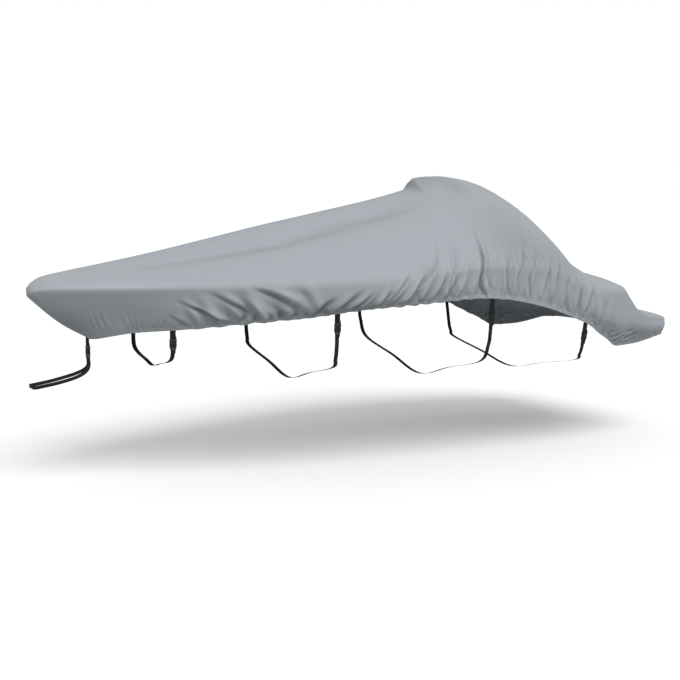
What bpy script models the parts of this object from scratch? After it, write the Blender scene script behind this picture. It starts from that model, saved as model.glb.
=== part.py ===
"""Fitted storage cover for a small V-hull runabout, with its hold-down webbing.

The cloth hangs as it does over the boat: a straight slope from the bow up to the
windscreen, a round top over the screen, a hollow run down to the transom and a low
box over the swim platform. The boat and its trailer are left out, so the cover is
hollow. X runs aft, Y to starboard, Z up, in metres. The origin is under the highest
part of the cloth, where the windscreen carries it.
"""
import math

import bmesh
import bpy
import numpy as np

# ---------------------------------------------------------------- driving sizes
CLOTH = 0.002            # cloth with its coating and folded-in seams
WEBBING = 0.002          # thickness of all webbing
GAP = 0.0004             # clearance between pieces that touch
SEAM = 0.0010            # clearance of webbing sewn inside the uneven cloth
TAB_WIDTH = 0.050        # sewn tabs at the hem
BELT_WIDTH = 0.038       # belts that pass under the hull
BOW_WIDTH = 0.028        # tab and strap at the bow
TOP_STATION = 3.75       # station of the origin, aft of the bow
TOP_HEIGHT = 0.851       # height of the origin, under the cloth, over the bow's rail
MAX_COLUMN_STEP = 0.085  # widest spacing of the cloth's columns
MIN_COLUMN_STEP = 0.016  # narrowest spacing between two fold columns

# One row for each cross section of the cloth. Stations are metres aft of the bow and
# heights are over the bow's rail. A section runs from the ridge over a shoulder to the
# rail and down to the hem; sweep is how far its shoulder lies aft of its ridge, edge is
# the softness of its turn over the rail, and belly and sag are how far the side's middle
# lies out from and below a straight line.
SECTION_COLUMNS = ("station", "ridge_z", "sweep", "shoulder_y", "shoulder_z", "rail_y",
                   "rail_z", "edge", "hem_station", "hem_y", "hem_z", "belly", "sag", "turn")
SECTIONS = (
    (0.000, 0.024, 0.00, 0.000, 0.012, 0.000, -0.040, 0.30, 0.490, 0.000, -0.400, 0.000, 0.045, 1.0),
    (0.020, 0.044, 0.00, 0.020, 0.040, 0.055, -0.010, 0.30, 0.500, 0.020, -0.400, 0.000, 0.045, 1.0),
    (0.060, 0.074, 0.00, 0.045, 0.064, 0.090, 0.002, 0.30, 0.520, 0.055, -0.397, 0.000, 0.042, 1.0),
    (0.130, 0.109, 0.00, 0.070, 0.094, 0.140, 0.010, 0.30, 0.550, 0.090, -0.390, 0.002, 0.038, 1.0),
    (0.300, 0.143, 0.00, 0.125, 0.115, 0.245, 0.020, 0.30, 0.620, 0.156, -0.373, 0.004, 0.030, 1.0),
    (0.600, 0.193, 0.00, 0.210, 0.146, 0.405, 0.026, 0.30, 0.740, 0.256, -0.350, 0.008, 0.028, 1.0),
    (1.000, 0.265, 0.00, 0.300, 0.188, 0.580, 0.034, 0.35, 1.000, 0.420, -0.318, 0.018, 0.036, 0.9),
    (1.500, 0.367, 0.00, 0.390, 0.255, 0.760, 0.050, 0.55, 1.500, 0.614, -0.286, 0.032, 0.050, 0.8),
    (2.000, 0.474, 0.00, 0.470, 0.320, 0.905, 0.075, 0.80, 2.000, 0.782, -0.246, 0.042, 0.060, 0.7),
    (2.500, 0.574, 0.00, 0.530, 0.385, 1.005, 0.105, 0.95, 2.500, 0.898, -0.199, 0.048, 0.064, 0.7),
    (3.000, 0.672, 0.04, 0.560, 0.455, 1.075, 0.140, 1.00, 3.000, 1.010, -0.164, 0.034, 0.034, 0.8),
    (3.400, 0.764, 0.08, 0.570, 0.520, 1.108, 0.170, 1.00, 3.400, 1.082, -0.140, 0.014, 0.010, 0.9),
    (3.445, 0.776, 0.09, 0.570, 0.530, 1.108, 0.170, 1.00, 3.445, 1.086, -0.139, 0.013, 0.010, 0.9),
    (3.475, 0.788, 0.10, 0.570, 0.540, 1.112, 0.175, 1.00, 3.475, 1.090, -0.139, 0.012, 0.010, 0.9),
    (3.750, 0.8822, 0.08, 0.580, 0.645, 1.122, 0.180, 1.00, 3.750, 1.110, -0.159, 0.011, 0.008, 0.9),
    (3.900, 0.8653, 0.06, 0.580, 0.675, 1.125, 0.180, 1.00, 3.900, 1.114, -0.186, 0.011, 0.008, 0.9),
    (4.200, 0.793, 0.03, 0.590, 0.592, 1.125, 0.140, 1.00, 4.200, 1.111, -0.261, 0.014, 0.014, 0.8),
    (4.500, 0.590, 0.00, 0.600, 0.395, 1.115, 0.020, 1.00, 4.500, 1.091, -0.364, 0.022, 0.034, 0.65),
    (4.570, 0.452, 0.00, 0.610, 0.262, 1.111, -0.008, 0.985, 4.570, 1.082, -0.390, 0.024, 0.042, 0.60),
    (4.650, 0.338, 0.00, 0.630, 0.165, 1.105, -0.034, 0.95, 4.650, 1.068, -0.421, 0.027, 0.052, 0.55),
    (4.710, 0.250, 0.00, 0.653, 0.110, 1.100, -0.046, 0.92, 4.710, 1.054, -0.452, 0.030, 0.060, 0.52),
    (4.800, 0.098, 0.00, 0.690, 0.010, 1.090, -0.062, 0.85, 4.800, 1.020, -0.503, 0.038, 0.076, 0.5),
    (4.950, 0.045, 0.00, 0.720, -0.018, 1.070, -0.092, 0.60, 4.950, 0.972, -0.579, 0.052, 0.070, 0.5),
    (5.110, -0.006, 0.00, 0.720, -0.060, 1.030, -0.132, 0.40, 5.110, 0.930, -0.662, 0.060, 0.062, 0.5),
    (5.200, -0.100, 0.00, 0.720, -0.142, 1.000, -0.214, 0.45, 5.200, 0.912, -0.664, 0.060, 0.026, 0.5),
    (5.350, -0.315, 0.00, 0.720, -0.330, 0.970, -0.352, 0.45, 5.350, 0.888, -0.660, 0.050, 0.012, 0.5),
    (5.430, -0.345, 0.00, 0.710, -0.358, 0.955, -0.382, 0.45, 5.430, 0.878, -0.652, 0.046, 0.010, 0.6),
    (5.600, -0.370, 0.00, 0.680, -0.384, 0.920, -0.414, 0.45, 5.600, 0.862, -0.624, 0.040, 0.012, 0.7),
    (5.730, -0.395, 0.00, 0.620, -0.408, 0.884, -0.434, 0.45, 5.720, 0.850, -0.604, 0.030, 0.012, 0.8),
    (5.800, -0.412, 0.00, 0.560, -0.421, 0.785, -0.450, 0.45, 5.790, 0.762, -0.600, 0.020, 0.010, 0.9),
    (5.815, -0.590, 0.00, 0.540, -0.592, 0.690, -0.596, 0.45, 5.810, 0.740, -0.598, 0.000, 0.000, 1.0),
)
KNOTS = ("ridge", "shoulder", "rail", "waist", "hem")   # control points down a section
ROWS = (0.0, 0.08, 0.16, 0.25, 0.34, 0.43, 0.5, 0.58, 0.70, 0.82, 0.93, 1.0)
STEP_STATIONS = (3.460, 3.490, 5.110, 5.200, 5.350)     # crisp steps in the ridge line

# How far forward the top of a column stands of its foot on the hem: the cloth is
# pulled askew between the hold-downs, which slants the folds.
LEAN_COLUMNS = ("hem_station", "forward")
LEANS = (
    (0.00, 0.00), (0.55, 0.00), (0.80, 0.07), (1.02, 0.16), (1.29, 0.21), (1.45, 0.22),
    (1.80, 0.22), (2.03, 0.10), (2.26, -0.06), (2.34, -0.13), (2.93, -0.15), (3.30, -0.08),
    (3.60, -0.03), (4.10, -0.04), (4.63, 0.00), (4.97, -0.10), (5.20, -0.12), (5.50, 0.00),
    (5.81, 0.00),
)
LEAN_FROM = 0.45         # girth where the slant starts

# Main folds of one side. A fold is a soft ridge that stands out by its height, with a
# shallow trough at each foot. It starts at the girth in start and is drawn in again
# at the hem, by the hem's cord, to the share in at_hem.
FOLD_COLUMNS = ("hem_station", "half_width", "height", "start", "at_hem")
FOLDS = (
    (0.60, 0.024, 0.006, 0.72, 0.6), (0.65, 0.024, 0.008, 0.66, 0.6),
    (0.70, 0.024, 0.006, 0.72, 0.6),
    (1.22, 0.060, 0.014, 0.55, 0.3), (1.36, 0.060, 0.022, 0.52, 0.2),
    (1.53, 0.070, 0.026, 0.48, 0.2), (1.71, 0.075, 0.030, 0.45, 0.2),
    (1.90, 0.070, 0.028, 0.44, 0.2), (2.06, 0.055, 0.020, 0.50, 0.3),
    (2.42, 0.050, 0.016, 0.62, 0.2), (2.53, 0.050, 0.022, 0.58, 0.2),
    (2.65, 0.055, 0.020, 0.55, 0.2), (2.77, 0.055, 0.024, 0.52, 0.3),
    (2.90, 0.050, 0.018, 0.48, 0.4), (3.01, 0.050, 0.016, 0.44, 0.4),
    (3.13, 0.055, 0.018, 0.36, 0.5), (3.26, 0.055, 0.020, 0.34, 0.5),
    (3.39, 0.050, 0.014, 0.36, 0.5), (3.51, 0.045, 0.012, 0.36, 0.5),
    (3.69, 0.045, 0.018, 0.30, 0.6), (3.81, 0.055, 0.014, 0.38, 0.5),
    (3.94, 0.055, 0.018, 0.36, 0.5), (4.07, 0.050, 0.014, 0.40, 0.6),
    (4.18, 0.050, 0.020, 0.34, 0.5), (4.31, 0.055, 0.016, 0.38, 0.5),
    (4.44, 0.055, 0.020, 0.36, 0.5), (4.55, 0.035, 0.012, 0.44, 0.5),
    (4.74, 0.045, 0.018, 0.46, 0.5), (4.86, 0.050, 0.014, 0.50, 0.5),
    (4.99, 0.030, 0.014, 0.62, 0.8), (5.06, 0.030, 0.016, 0.58, 0.8),
    (5.13, 0.030, 0.016, 0.60, 0.8), (5.20, 0.030, 0.012, 0.62, 0.7),
)
FOLD_PEAK = 0.86         # girth where a fold stands highest
FOOT_SHARE = 0.45        # depth of the trough at a fold's foot, as a share of its height
STARBOARD_SHIFT = 5      # starboard folds take the heights of their neighbours this far on

# The long soft valley in the foredeck, where the cloth hangs between ridge and rail.
VALLEY_COLUMNS = ("station", "girth", "depth")
VALLEY = (
    (0.60, 0.24, 0.000), (1.00, 0.23, 0.024), (1.90, 0.22, 0.050), (2.40, 0.17, 0.052),
    (3.00, 0.14, 0.046), (3.35, 0.13, 0.014), (3.50, 0.12, 0.000),
)
VALLEY_WIDTH = (0.085, 0.045)    # half widths of the valley, as girth: ridge side, rail side

# The windscreen's centre post lifts the ridge into a small peak with a steep front.
PEAK_COLUMNS = ("station", "height")
PEAK = (
    (3.460, 0.000), (3.490, 0.070), (3.550, 0.055), (3.600, 0.037), (3.650, 0.020),
    (3.700, 0.005), (3.750, 0.000),
)
PEAK_WIDTH = 0.11

# Over the swim platform's end the cloth rolls under, forward of the end's widest part.
ROLL = 0.012             # how far forward the hem is of the end
ROLL_FROM = -0.470       # height where the roll starts
ROLL_DROP = 0.110        # height that it takes

# Belts under the hull, one row each: where it crosses the hem, how far down its buckle
# starts, and the hull's side, chine and keel that it follows.
BELT_COLUMNS = ("name", "station", "tab_drop", "side_y", "side_z", "bilge_y", "bilge_z",
                "chine_y", "chine_z", "keel_z")
BELTS = (
    ("fore", 1.02, 0.075, 0.420, -0.505, 0.388, -0.555, 0.300, -0.590, -0.652),
    ("middle", 2.26, 0.085, 0.828, -0.480, 0.808, -0.590, 0.760, -0.665, -0.850),
    ("screen", 3.60, 0.125, 1.066, -0.420, 1.040, -0.540, 0.930, -0.690, -0.920),
    ("stern", 4.63, 0.085, 1.018, -0.640, 0.990, -0.700, 0.930, -0.755, -0.930),
)

# Buckles, as side-release pairs: a socket on the tab and a plug on the belt.
BAR = 0.006              # bar that the webbing turns around, square in section
TURN_RADIUS = 0.0058     # of the webbing's middle, clear of the bar's corners
SLOT = 0.0095            # slot between the bar and the buckle's body
TONGUE = 0.022           # length of the plug inside the socket
SIDE_ARM = 0.0045        # arm at each end of a bar
SOCKET_BODY = 0.044      # length of the socket below its slot
PLUG_BODY = 0.014        # length of the plug's shoulders above its slot
SOCKET_THICK = 0.013
PLUG_THICK = 0.0075
HOOK_TAIL = 0.024        # sewn-down end of webbing beyond a bar

# Strap from the bow pouch round the trailer's winch post: a closed band whose two
# strands run from the plug's bar to the front of the post.
BOW_STATION = 0.476
BOW_TAB_DROP = 0.058
POST_FRONT = 0.014
POST_CORNER = 0.022
BOW_STRAND_COLUMNS = ("station", "off_centre", "height")
BOW_STRAND = (
    (0.478, 0.012, -0.606), (0.452, 0.034, -0.645), (0.390, 0.058, -0.676),
    (0.300, 0.069, -0.700), (0.180, 0.070, -0.723), (0.036, 0.070, -0.742),
)

COLOURS = {              # base colour, roughness, metallic
    "cover cloth": ((0.375, 0.41, 0.44), 0.72, 0.0),
    "black webbing": ((0.018, 0.018, 0.020), 0.80, 0.0),
    "black buckle": ((0.012, 0.012, 0.014), 0.35, 0.0),
}


# ---------------------------------------------------------------- scene set-up
def clear_scene():
    for obj in list(bpy.data.objects):
        bpy.data.objects.remove(obj, do_unlink=True)


def new_collection(name):
    group = bpy.data.collections.new(name)
    bpy.context.scene.collection.children.link(group)
    return group


def make_material(name):
    colour, roughness, metallic = COLOURS[name]
    material = bpy.data.materials.new(name)
    material.use_nodes = True
    shader = material.node_tree.nodes["Principled BSDF"]
    shader.inputs["Base Color"].default_value = (*colour, 1.0)
    shader.inputs["Roughness"].default_value = roughness
    shader.inputs["Metallic"].default_value = metallic
    return material


def new_object(name, mesh, group, material):
    mesh.materials.clear()
    mesh.materials.append(material)
    obj = bpy.data.objects.new(name, mesh)
    group.objects.link(obj)
    return obj


# ---------------------------------------------------------------- shape of the cloth
def table(columns, rows):
    return {name: np.array([row[i] for row in rows], float)
            for i, name in enumerate(columns) if not isinstance(rows[0][i], str)}


def smooth_through(xs, ys, x):
    """A cubic through the table's points that never overshoots them."""
    step = np.diff(xs)
    slope = np.diff(ys) / step
    tangent = np.zeros_like(ys)
    for i in range(1, len(xs) - 1):
        if slope[i - 1] * slope[i] > 0:
            before = 2 * step[i] + step[i - 1]
            after = step[i] + 2 * step[i - 1]
            tangent[i] = (before + after) / (before / slope[i - 1] + after / slope[i])
    tangent[0] = slope[0]
    tangent[-1] = slope[-1]
    i = int(np.clip(np.searchsorted(xs, x, side="right") - 1, 0, len(xs) - 2))
    t = (x - xs[i]) / step[i]
    return (ys[i] * (1 + 2 * t) * (1 - t) ** 2 + step[i] * tangent[i] * t * (1 - t) ** 2
            + ys[i + 1] * t * t * (3 - 2 * t) + step[i] * tangent[i + 1] * t * t * (t - 1))


def ease(t):
    t = min(max(t, 0.0), 1.0)
    return t * t * (3 - 2 * t)


def soft_turn(before, corner, after, t):
    return (1 - t) ** 2 * before + 2 * t * (1 - t) * corner + t * t * after


section_table = table(SECTION_COLUMNS, SECTIONS)
lean_table = table(LEAN_COLUMNS, LEANS)
valley_table = table(VALLEY_COLUMNS, VALLEY)
peak_table = table(PEAK_COLUMNS, PEAK)


def section_knots(station):
    """Control points of the cross section at a station, on the starboard side."""
    at = {name: smooth_through(section_table["station"], section_table[name], station)
          for name in SECTION_COLUMNS[1:]}
    ridge = np.array([station, 0.0, at["ridge_z"]])
    shoulder = np.array([station + at["sweep"], at["shoulder_y"], at["shoulder_z"]])
    rail = np.array([station, at["rail_y"], at["rail_z"]])
    hem = np.array([at["hem_station"], at["hem_y"], at["hem_z"]])
    waist = (rail + hem) / 2 + (0.0, at["belly"], -at["sag"])
    return (ridge, shoulder, rail, waist, hem), at["edge"], at["turn"]


def section_point(station, girth):
    """Point of a cross section: girth runs from 0 at the ridge to 1 at the hem."""
    knots, edge, turn = section_knots(station)
    softness = (0.5, 1.0, edge, turn, 0.0)
    along = girth * (len(KNOTS) - 1)
    k = int(round(along))
    half = softness[k] / 2
    if k == 0 and along < half:
        near = knots[0] + (knots[1] - knots[0]) * half
        return soft_turn(near * (1, -1, 1), knots[0], near, along / softness[0] + 0.5)
    if 0 < k < len(KNOTS) - 1 and abs(along - k) < half:
        before = knots[k] + (knots[k - 1] - knots[k]) * half
        after = knots[k] + (knots[k + 1] - knots[k]) * half
        return soft_turn(before, knots[k], after, (along - k) / softness[k] + 0.5)
    i = min(int(along), len(KNOTS) - 2)
    return knots[i] + (knots[i + 1] - knots[i]) * (along - i)


def bare_point(station, girth):
    """Point of the unfolded cloth, with the windscreen's peak and the rolled-under stern."""
    point = section_point(station, girth)
    peak = np.interp(station, peak_table["station"], peak_table["height"])
    under = ease((ROLL_FROM - point[2]) / ROLL_DROP) ** 2 * ease((station - 5.45) / 0.25)
    point[2] += peak * math.exp(-(point[1] / PEAK_WIDTH) ** 2)
    point[0] -= ROLL * under
    return point


def lean_at(hem_station):
    return np.interp(hem_station, lean_table["hem_station"], lean_table["forward"])


def station_at(hem_station, girth):
    """A column leans, so its station changes from its foot on the hem to its top."""
    share = 1 - ease((girth - LEAN_FROM) / (1 - LEAN_FROM))
    return hem_station - lean_at(hem_station) * share


def hem_station_under(top_station):
    feet = lean_table["hem_station"]
    return float(np.interp(top_station, feet - lean_table["forward"], feet))


def fold_height(hem_station, girth, side):
    """How far the folds push the cloth out of its bare shape."""
    total = 0.0
    heights = [row[2] for row in FOLDS]
    for i, (centre, half_width, height, start, at_hem) in enumerate(FOLDS):
        if side > 0:
            height = 0.5 * (height + heights[(i + STARBOARD_SHIFT) % len(FOLDS)])
        away = (hem_station - centre) / half_width
        if abs(away) >= 2:
            continue
        ridge = 0.5 + 0.5 * math.cos(math.pi * min(abs(away), 1.0))
        foot = FOOT_SHARE * (0.5 - 0.5 * math.cos(math.pi * abs(away)))
        rise = ease((girth - start) / (FOLD_PEAK - start))
        drawn_in = 1 - (1 - at_hem) * ease((girth - FOLD_PEAK) / (1 - FOLD_PEAK))
        total += height * (ridge - foot) * rise * drawn_in
    return total


def valley_depth(station, girth):
    centre = np.interp(station, valley_table["station"], valley_table["girth"])
    depth = np.interp(station, valley_table["station"], valley_table["depth"])
    width = VALLEY_WIDTH[0] if girth < centre else VALLEY_WIDTH[1]
    return depth * math.exp(-((girth - centre) / width) ** 2)


def cloth_point(hem_station, girth, side):
    """Point on the outside of the cloth, on the side of the sign given."""
    station = station_at(hem_station, girth)
    reach = 0.004
    low = max(girth - reach, 0.0)
    high = min(girth + reach, 1.0)
    down = bare_point(station, high) - bare_point(station, low)
    ahead = max(station - reach, 0.0)
    behind = min(station + reach, SECTIONS[-1][0])
    aft = bare_point(behind, girth) - bare_point(ahead, girth)
    normal = np.cross(aft, down)
    size = np.linalg.norm(normal)
    point = bare_point(station, girth)
    if size > 0:
        lift = fold_height(hem_station, girth, side) - valley_depth(station, girth)
        point = point + normal / size * lift
    return point * (1, side, 1)


def to_frame(point):
    return (point[0] - TOP_STATION, point[1], point[2] - TOP_HEIGHT)


def cloth_columns():
    """Hem stations of the cloth's columns: steps, tabs and folds first, then fill."""
    half_tab = TAB_WIDTH / 2
    fixed = [row[0] + lean_at(row[0]) for row in SECTIONS[:6]]
    fixed += [row[0] for row in SECTIONS[-5:]]
    fixed += [hem_station_under(station) for station in STEP_STATIONS]
    for row in BELTS:
        fixed += [row[1] - half_tab, row[1] + half_tab]
    wished = []
    for centre, half_width, _, _, _ in FOLDS:
        wished += [centre, centre - half_width, centre + half_width]
    kept = sorted(fixed)
    for station in wished:
        if min(abs(station - other) for other in kept) > MIN_COLUMN_STEP:
            kept.append(station)
    kept.sort()
    filled = [kept[0]]
    for station in kept[1:]:
        parts = math.ceil((station - filled[-1]) / MAX_COLUMN_STEP - 1e-6)
        start = filled[-1]
        filled += [start + (station - start) * n / parts for n in range(1, parts + 1)]
    return filled


def make_cloth(group, material):
    bm = bmesh.new()
    rows = [(girth, -1) for girth in reversed(ROWS)] + [(girth, 1) for girth in ROWS[1:]]
    grid = []
    for foot in cloth_columns():
        grid.append([bm.verts.new(to_frame(cloth_point(foot, girth, side)))
                     for girth, side in rows])
    for column, following in zip(grid, grid[1:]):
        for j in range(len(rows) - 1):
            bm.faces.new((column[j], following[j], following[j + 1], column[j + 1]))
    bmesh.ops.remove_doubles(bm, verts=bm.verts, dist=0.0001)
    bmesh.ops.triangulate(bm, faces=bm.faces)
    mesh = bpy.data.meshes.new("cover_cloth")
    bm.to_mesh(mesh)
    bm.free()
    cloth = new_object("cover_cloth", mesh, group, material)
    mesh.shade_smooth()
    add_thickness(cloth, CLOTH, -1.0)
    return cloth


def add_thickness(obj, thickness, offset):
    wall = obj.modifiers.new("thickness", "SOLIDIFY")
    wall.thickness = thickness
    wall.offset = offset
    wall.use_even_offset = True
    return wall


# ---------------------------------------------------------------- webbing
def make_strip(name, edges, thickness, group, material):
    """Webbing along pairs of edge points, with its thickness split about them."""
    bm = bmesh.new()
    pairs = [[bm.verts.new(to_frame(point)) for point in pair] for pair in edges]
    for (left, right), (next_left, next_right) in zip(pairs, pairs[1:]):
        bm.faces.new((left, right, next_right, next_left))
    bmesh.ops.remove_doubles(bm, verts=bm.verts, dist=0.0001)
    bmesh.ops.recalc_face_normals(bm, faces=bm.faces)
    mesh = bpy.data.meshes.new(name)
    bm.to_mesh(mesh)
    bm.free()
    strip = new_object(name, mesh, group, material)
    add_thickness(strip, thickness, 0.0)
    return strip


def across_x(route, station, width):
    """Edge points of a strip whose route lies in the plane of one station."""
    half = width / 2
    return [((station - half, y, z), (station + half, y, z)) for y, z in route]


def seat_pair(station, girth, side, width):
    """Edge points of webbing sewn to the inside of the cloth."""
    half_tab = TAB_WIDTH / 2
    depth = CLOTH + SEAM + WEBBING / 2
    front = cloth_point(station - half_tab, girth, side)
    back = cloth_point(station + half_tab, girth, side)
    lower = cloth_point(station - half_tab, 1.0, side)
    upper = cloth_point(station - half_tab, ROWS[-2], side)
    normal = np.cross(back - front, lower - upper) * side
    normal /= np.linalg.norm(normal)
    share = 0.5 * (1 - width / TAB_WIDTH)
    move = -normal * depth
    return (tuple(front + (back - front) * share + move),
            tuple(back + (front - back) * share + move))


class HangLine:
    """The straight run of a tab and its buckle, down the side of the hull.

    Places on it are given as distance down from its start and distance outwards.
    """

    def __init__(self, start, target):
        self.start = np.array(start)
        self.down = np.array(target) - self.start
        self.down /= np.linalg.norm(self.down)
        self.outward = np.array((self.down[1], -self.down[0]))

    def at(self, down, outward):
        y, z = self.start + self.down * down + self.outward * outward
        return float(y), float(z)

    def tilt(self):
        return math.atan2(self.down[0], -self.down[1])


def turn_round_bar(line, bar, direction):
    """Webbing that runs down (1) or up (-1) behind a bar, turns and ends in front."""
    steps = 6
    route = []
    for n in range(steps + 1):
        angle = math.pi * n / steps
        route.append(line.at(bar + direction * TURN_RADIUS * math.sin(angle),
                             TURN_RADIUS * (1 - math.cos(angle))))
    route.append(line.at(bar - direction * HOOK_TAIL, 2 * TURN_RADIUS))
    return route


def smooth_route(points, per_span):
    """A soft curve through the route's own points."""
    points = [np.array(point, float) for point in points]
    ends = [2 * points[0] - points[1]] + points + [2 * points[-1] - points[-2]]
    route = []
    for before, here, there, after in zip(ends, ends[1:], ends[2:], ends[3:]):
        for n in range(per_span):
            t = n / per_span
            route.append(0.5 * (2 * here + (there - before) * t
                                + (2 * before - 5 * here + 4 * there - after) * t ** 2
                                + (3 * here - 3 * there + after - before) * t ** 3))
    return route + [points[-1]]


def hang_line(row):
    """The port side's run of a belt, from its seat in the hem to the hull's side."""
    left, right = seat_pair(row["station"], 1.0, -1, TAB_WIDTH)
    start = ((left[1] + right[1]) / 2, (left[2] + right[2]) / 2)
    return HangLine(start, (-row["side_y"], row["side_z"]))


def plug_bar(socket_bar):
    """Where the plug's bar lies, as distance down its hang line."""
    return socket_bar + BAR + SLOT + SOCKET_BODY + GAP + PLUG_BODY + SLOT


def make_tab(row, line, group, material):
    sewn = [seat_pair(row["station"], girth, -1, TAB_WIDTH) for girth in ROWS[-2:]]
    hanging = [line.at(row["tab_drop"] * share, 0.0) for share in (0.25, 0.6)]
    hanging += turn_round_bar(line, row["tab_drop"], 1)
    edges = sewn + across_x(hanging, row["station"], TAB_WIDTH)
    return make_strip("tab_" + row["name"], edges, WEBBING, group, material)


def make_belt(row, line, group, material):
    bar = plug_bar(row["tab_drop"])
    hook = list(reversed(turn_round_bar(line, bar, -1)))
    half = [(row["bilge_y"], row["bilge_z"]), (row["chine_y"], row["chine_z"]),
            (row["chine_y"] * 0.5, (row["chine_z"] + row["keel_z"]) / 2)]
    port = [(-row["side_y"], row["side_z"])] + [(-y, z) for y, z in half]
    starboard = [(-y, z) for y, z in reversed(port)]
    seat = seat_pair(row["station"], 1.0, 1, BELT_WIDTH)
    seat_yz = ((seat[0][1] + seat[1][1]) / 2, (seat[0][2] + seat[1][2]) / 2)
    rise = [(starboard[-1][0] * (1 - share) + seat_yz[0] * share,
             starboard[-1][1] * (1 - share) + seat_yz[1] * share) for share in (0.5, 0.9)]
    under = smooth_route([line.at(bar + 0.02, 0.0)] + port + [(0.0, row["keel_z"])]
                         + starboard + rise, 3)
    sewn = [seat_pair(row["station"], girth, 1, BELT_WIDTH) for girth in reversed(ROWS[-2:])]
    edges = across_x(hook + under, row["station"], BELT_WIDTH) + sewn
    return make_strip("belt_" + row["name"], edges, WEBBING, group, material)


# ---------------------------------------------------------------- buckles
def make_box(name, size, centre, group, chamfer=0.0):
    bm = bmesh.new()
    bmesh.ops.create_cube(bm, size=1.0)
    bmesh.ops.scale(bm, verts=bm.verts, vec=size)
    bmesh.ops.translate(bm, verts=bm.verts, vec=centre)
    mesh = bpy.data.meshes.new(name)
    bm.to_mesh(mesh)
    bm.free()
    box = bpy.data.objects.new(name, mesh)
    group.objects.link(box)
    if chamfer:
        edge = box.modifiers.new("edges", "BEVEL")
        edge.width = chamfer
        edge.segments = 1
    return box


def cut_or_join(obj, other, operation):
    other.hide_render = True
    other.display_type = "WIRE"
    change = obj.modifiers.new(operation.lower(), "BOOLEAN")
    change.operation = operation
    change.object = other


def frozen_mesh(obj, name):
    """The object's mesh with its modifiers applied; the object itself goes."""
    bpy.context.view_layer.update()
    depsgraph = bpy.context.evaluated_depsgraph_get()
    mesh = bpy.data.meshes.new_from_object(obj.evaluated_get(depsgraph))
    mesh.name = name
    bpy.data.objects.remove(obj, do_unlink=True)
    return mesh


def socket_mesh(webbing_width, cutters):
    """Female half, with the centre of its bar at the origin and its mouth down."""
    width = webbing_width + 2 * (SIDE_ARM + 3 * GAP)
    top = BAR / 2
    body_top = -BAR / 2 - SLOT
    bottom = body_top - SOCKET_BODY
    frame = make_box("socket_frame", (width, BAR, top - bottom),
                     (0, 0, (top + bottom) / 2), cutters, 0.001)
    body = make_box("socket_body", (width, SOCKET_THICK, SOCKET_BODY),
                    (0, 0, (body_top + bottom) / 2), cutters, 0.002)
    slot = make_box("socket_slot", (webbing_width + 6 * GAP, 4 * BAR, SLOT),
                    (0, 0, -BAR / 2 - SLOT / 2), cutters)
    mouth = make_box("socket_mouth", (webbing_width - SIDE_ARM + 2 * GAP,
                                      PLUG_THICK + 2 * GAP, 2 * (TONGUE + GAP)),
                     (0, 0, bottom), cutters)
    cut_or_join(frame, slot, "DIFFERENCE")
    cut_or_join(frame, body, "UNION")
    cut_or_join(frame, mouth, "DIFFERENCE")
    return frozen_mesh(frame, "socket")


def plug_mesh(webbing_width, tongue_width, cutters):
    """Male half, with the centre of its bar at the origin and its tongue up."""
    width = webbing_width + 2 * (SIDE_ARM + 3 * GAP)
    shoulder = BAR / 2 + SLOT + PLUG_BODY
    frame = make_box("plug_frame", (width, BAR, shoulder + BAR / 2),
                     (0, 0, (shoulder - BAR / 2) / 2), cutters, 0.001)
    slot = make_box("plug_slot", (webbing_width + 6 * GAP, 4 * BAR, SLOT),
                    (0, 0, BAR / 2 + SLOT / 2), cutters)
    root = shoulder - PLUG_BODY / 2
    tongue = make_box("plug_tongue", (tongue_width, PLUG_THICK, PLUG_BODY / 2 + GAP + TONGUE),
                      (0, 0, root + (PLUG_BODY / 2 + GAP + TONGUE) / 2), cutters, 0.001)
    cut_or_join(frame, slot, "DIFFERENCE")
    cut_or_join(frame, tongue, "UNION")
    return frozen_mesh(frame, "plug")


def make_buckle(name, tab_width, belt_width, station, line, bar, group, cutters, material):
    socket = new_object("socket_" + name, socket_mesh(tab_width, cutters), group, material)
    plug = new_object("plug_" + name,
                      plug_mesh(belt_width, tab_width - SIDE_ARM, cutters), group, material)
    for half, down in ((socket, bar), (plug, plug_bar(bar))):
        y, z = line.at(down, TURN_RADIUS)
        half.location = to_frame((station, y, z))
        half.rotation_euler.x = line.tilt()


# ---------------------------------------------------------------- bow
def make_bow(group, cutters, webbing, plastic):
    """The tab under the bow pouch, its buckle, and the band round the winch post."""
    half = BOW_WIDTH / 2
    seam_ahead = cloth_point(0.0, girth_on_stem(BOW_STATION - half), 1)
    seam_behind = cloth_point(0.0, girth_on_stem(BOW_STATION + half), 1)
    top = min(seam_ahead[2], seam_behind[2]) - GAP
    line = HangLine((0.0, top), (0.0, top - 1.0))
    route = [line.at(BOW_TAB_DROP * share, 0.0) for share in (0.35, 0.7)]
    route += turn_round_bar(line, BOW_TAB_DROP, 1)
    sewn = ((seam_ahead[0], 0.0, seam_ahead[2] - GAP), (seam_behind[0], 0.0, seam_behind[2] - GAP))
    make_strip("tab_bow", [sewn] + across_x(route, BOW_STATION, BOW_WIDTH), WEBBING, group,
               webbing)
    make_buckle("bow", BOW_WIDTH, BOW_WIDTH, BOW_STATION, line, BOW_TAB_DROP, group, cutters,
                plastic)
    bar_y, bar_z = line.at(plug_bar(BOW_TAB_DROP), TURN_RADIUS)
    make_strip("band_bow", bow_band(bar_y, bar_z), WEBBING, group, webbing)


def girth_on_stem(station):
    """Girth at which the stem's seam passes a station."""
    girths = np.linspace(0.5, 1.0, 101)
    stations = [bare_point(0.0, girth)[0] for girth in girths]
    return float(np.interp(station, stations, girths))


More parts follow.
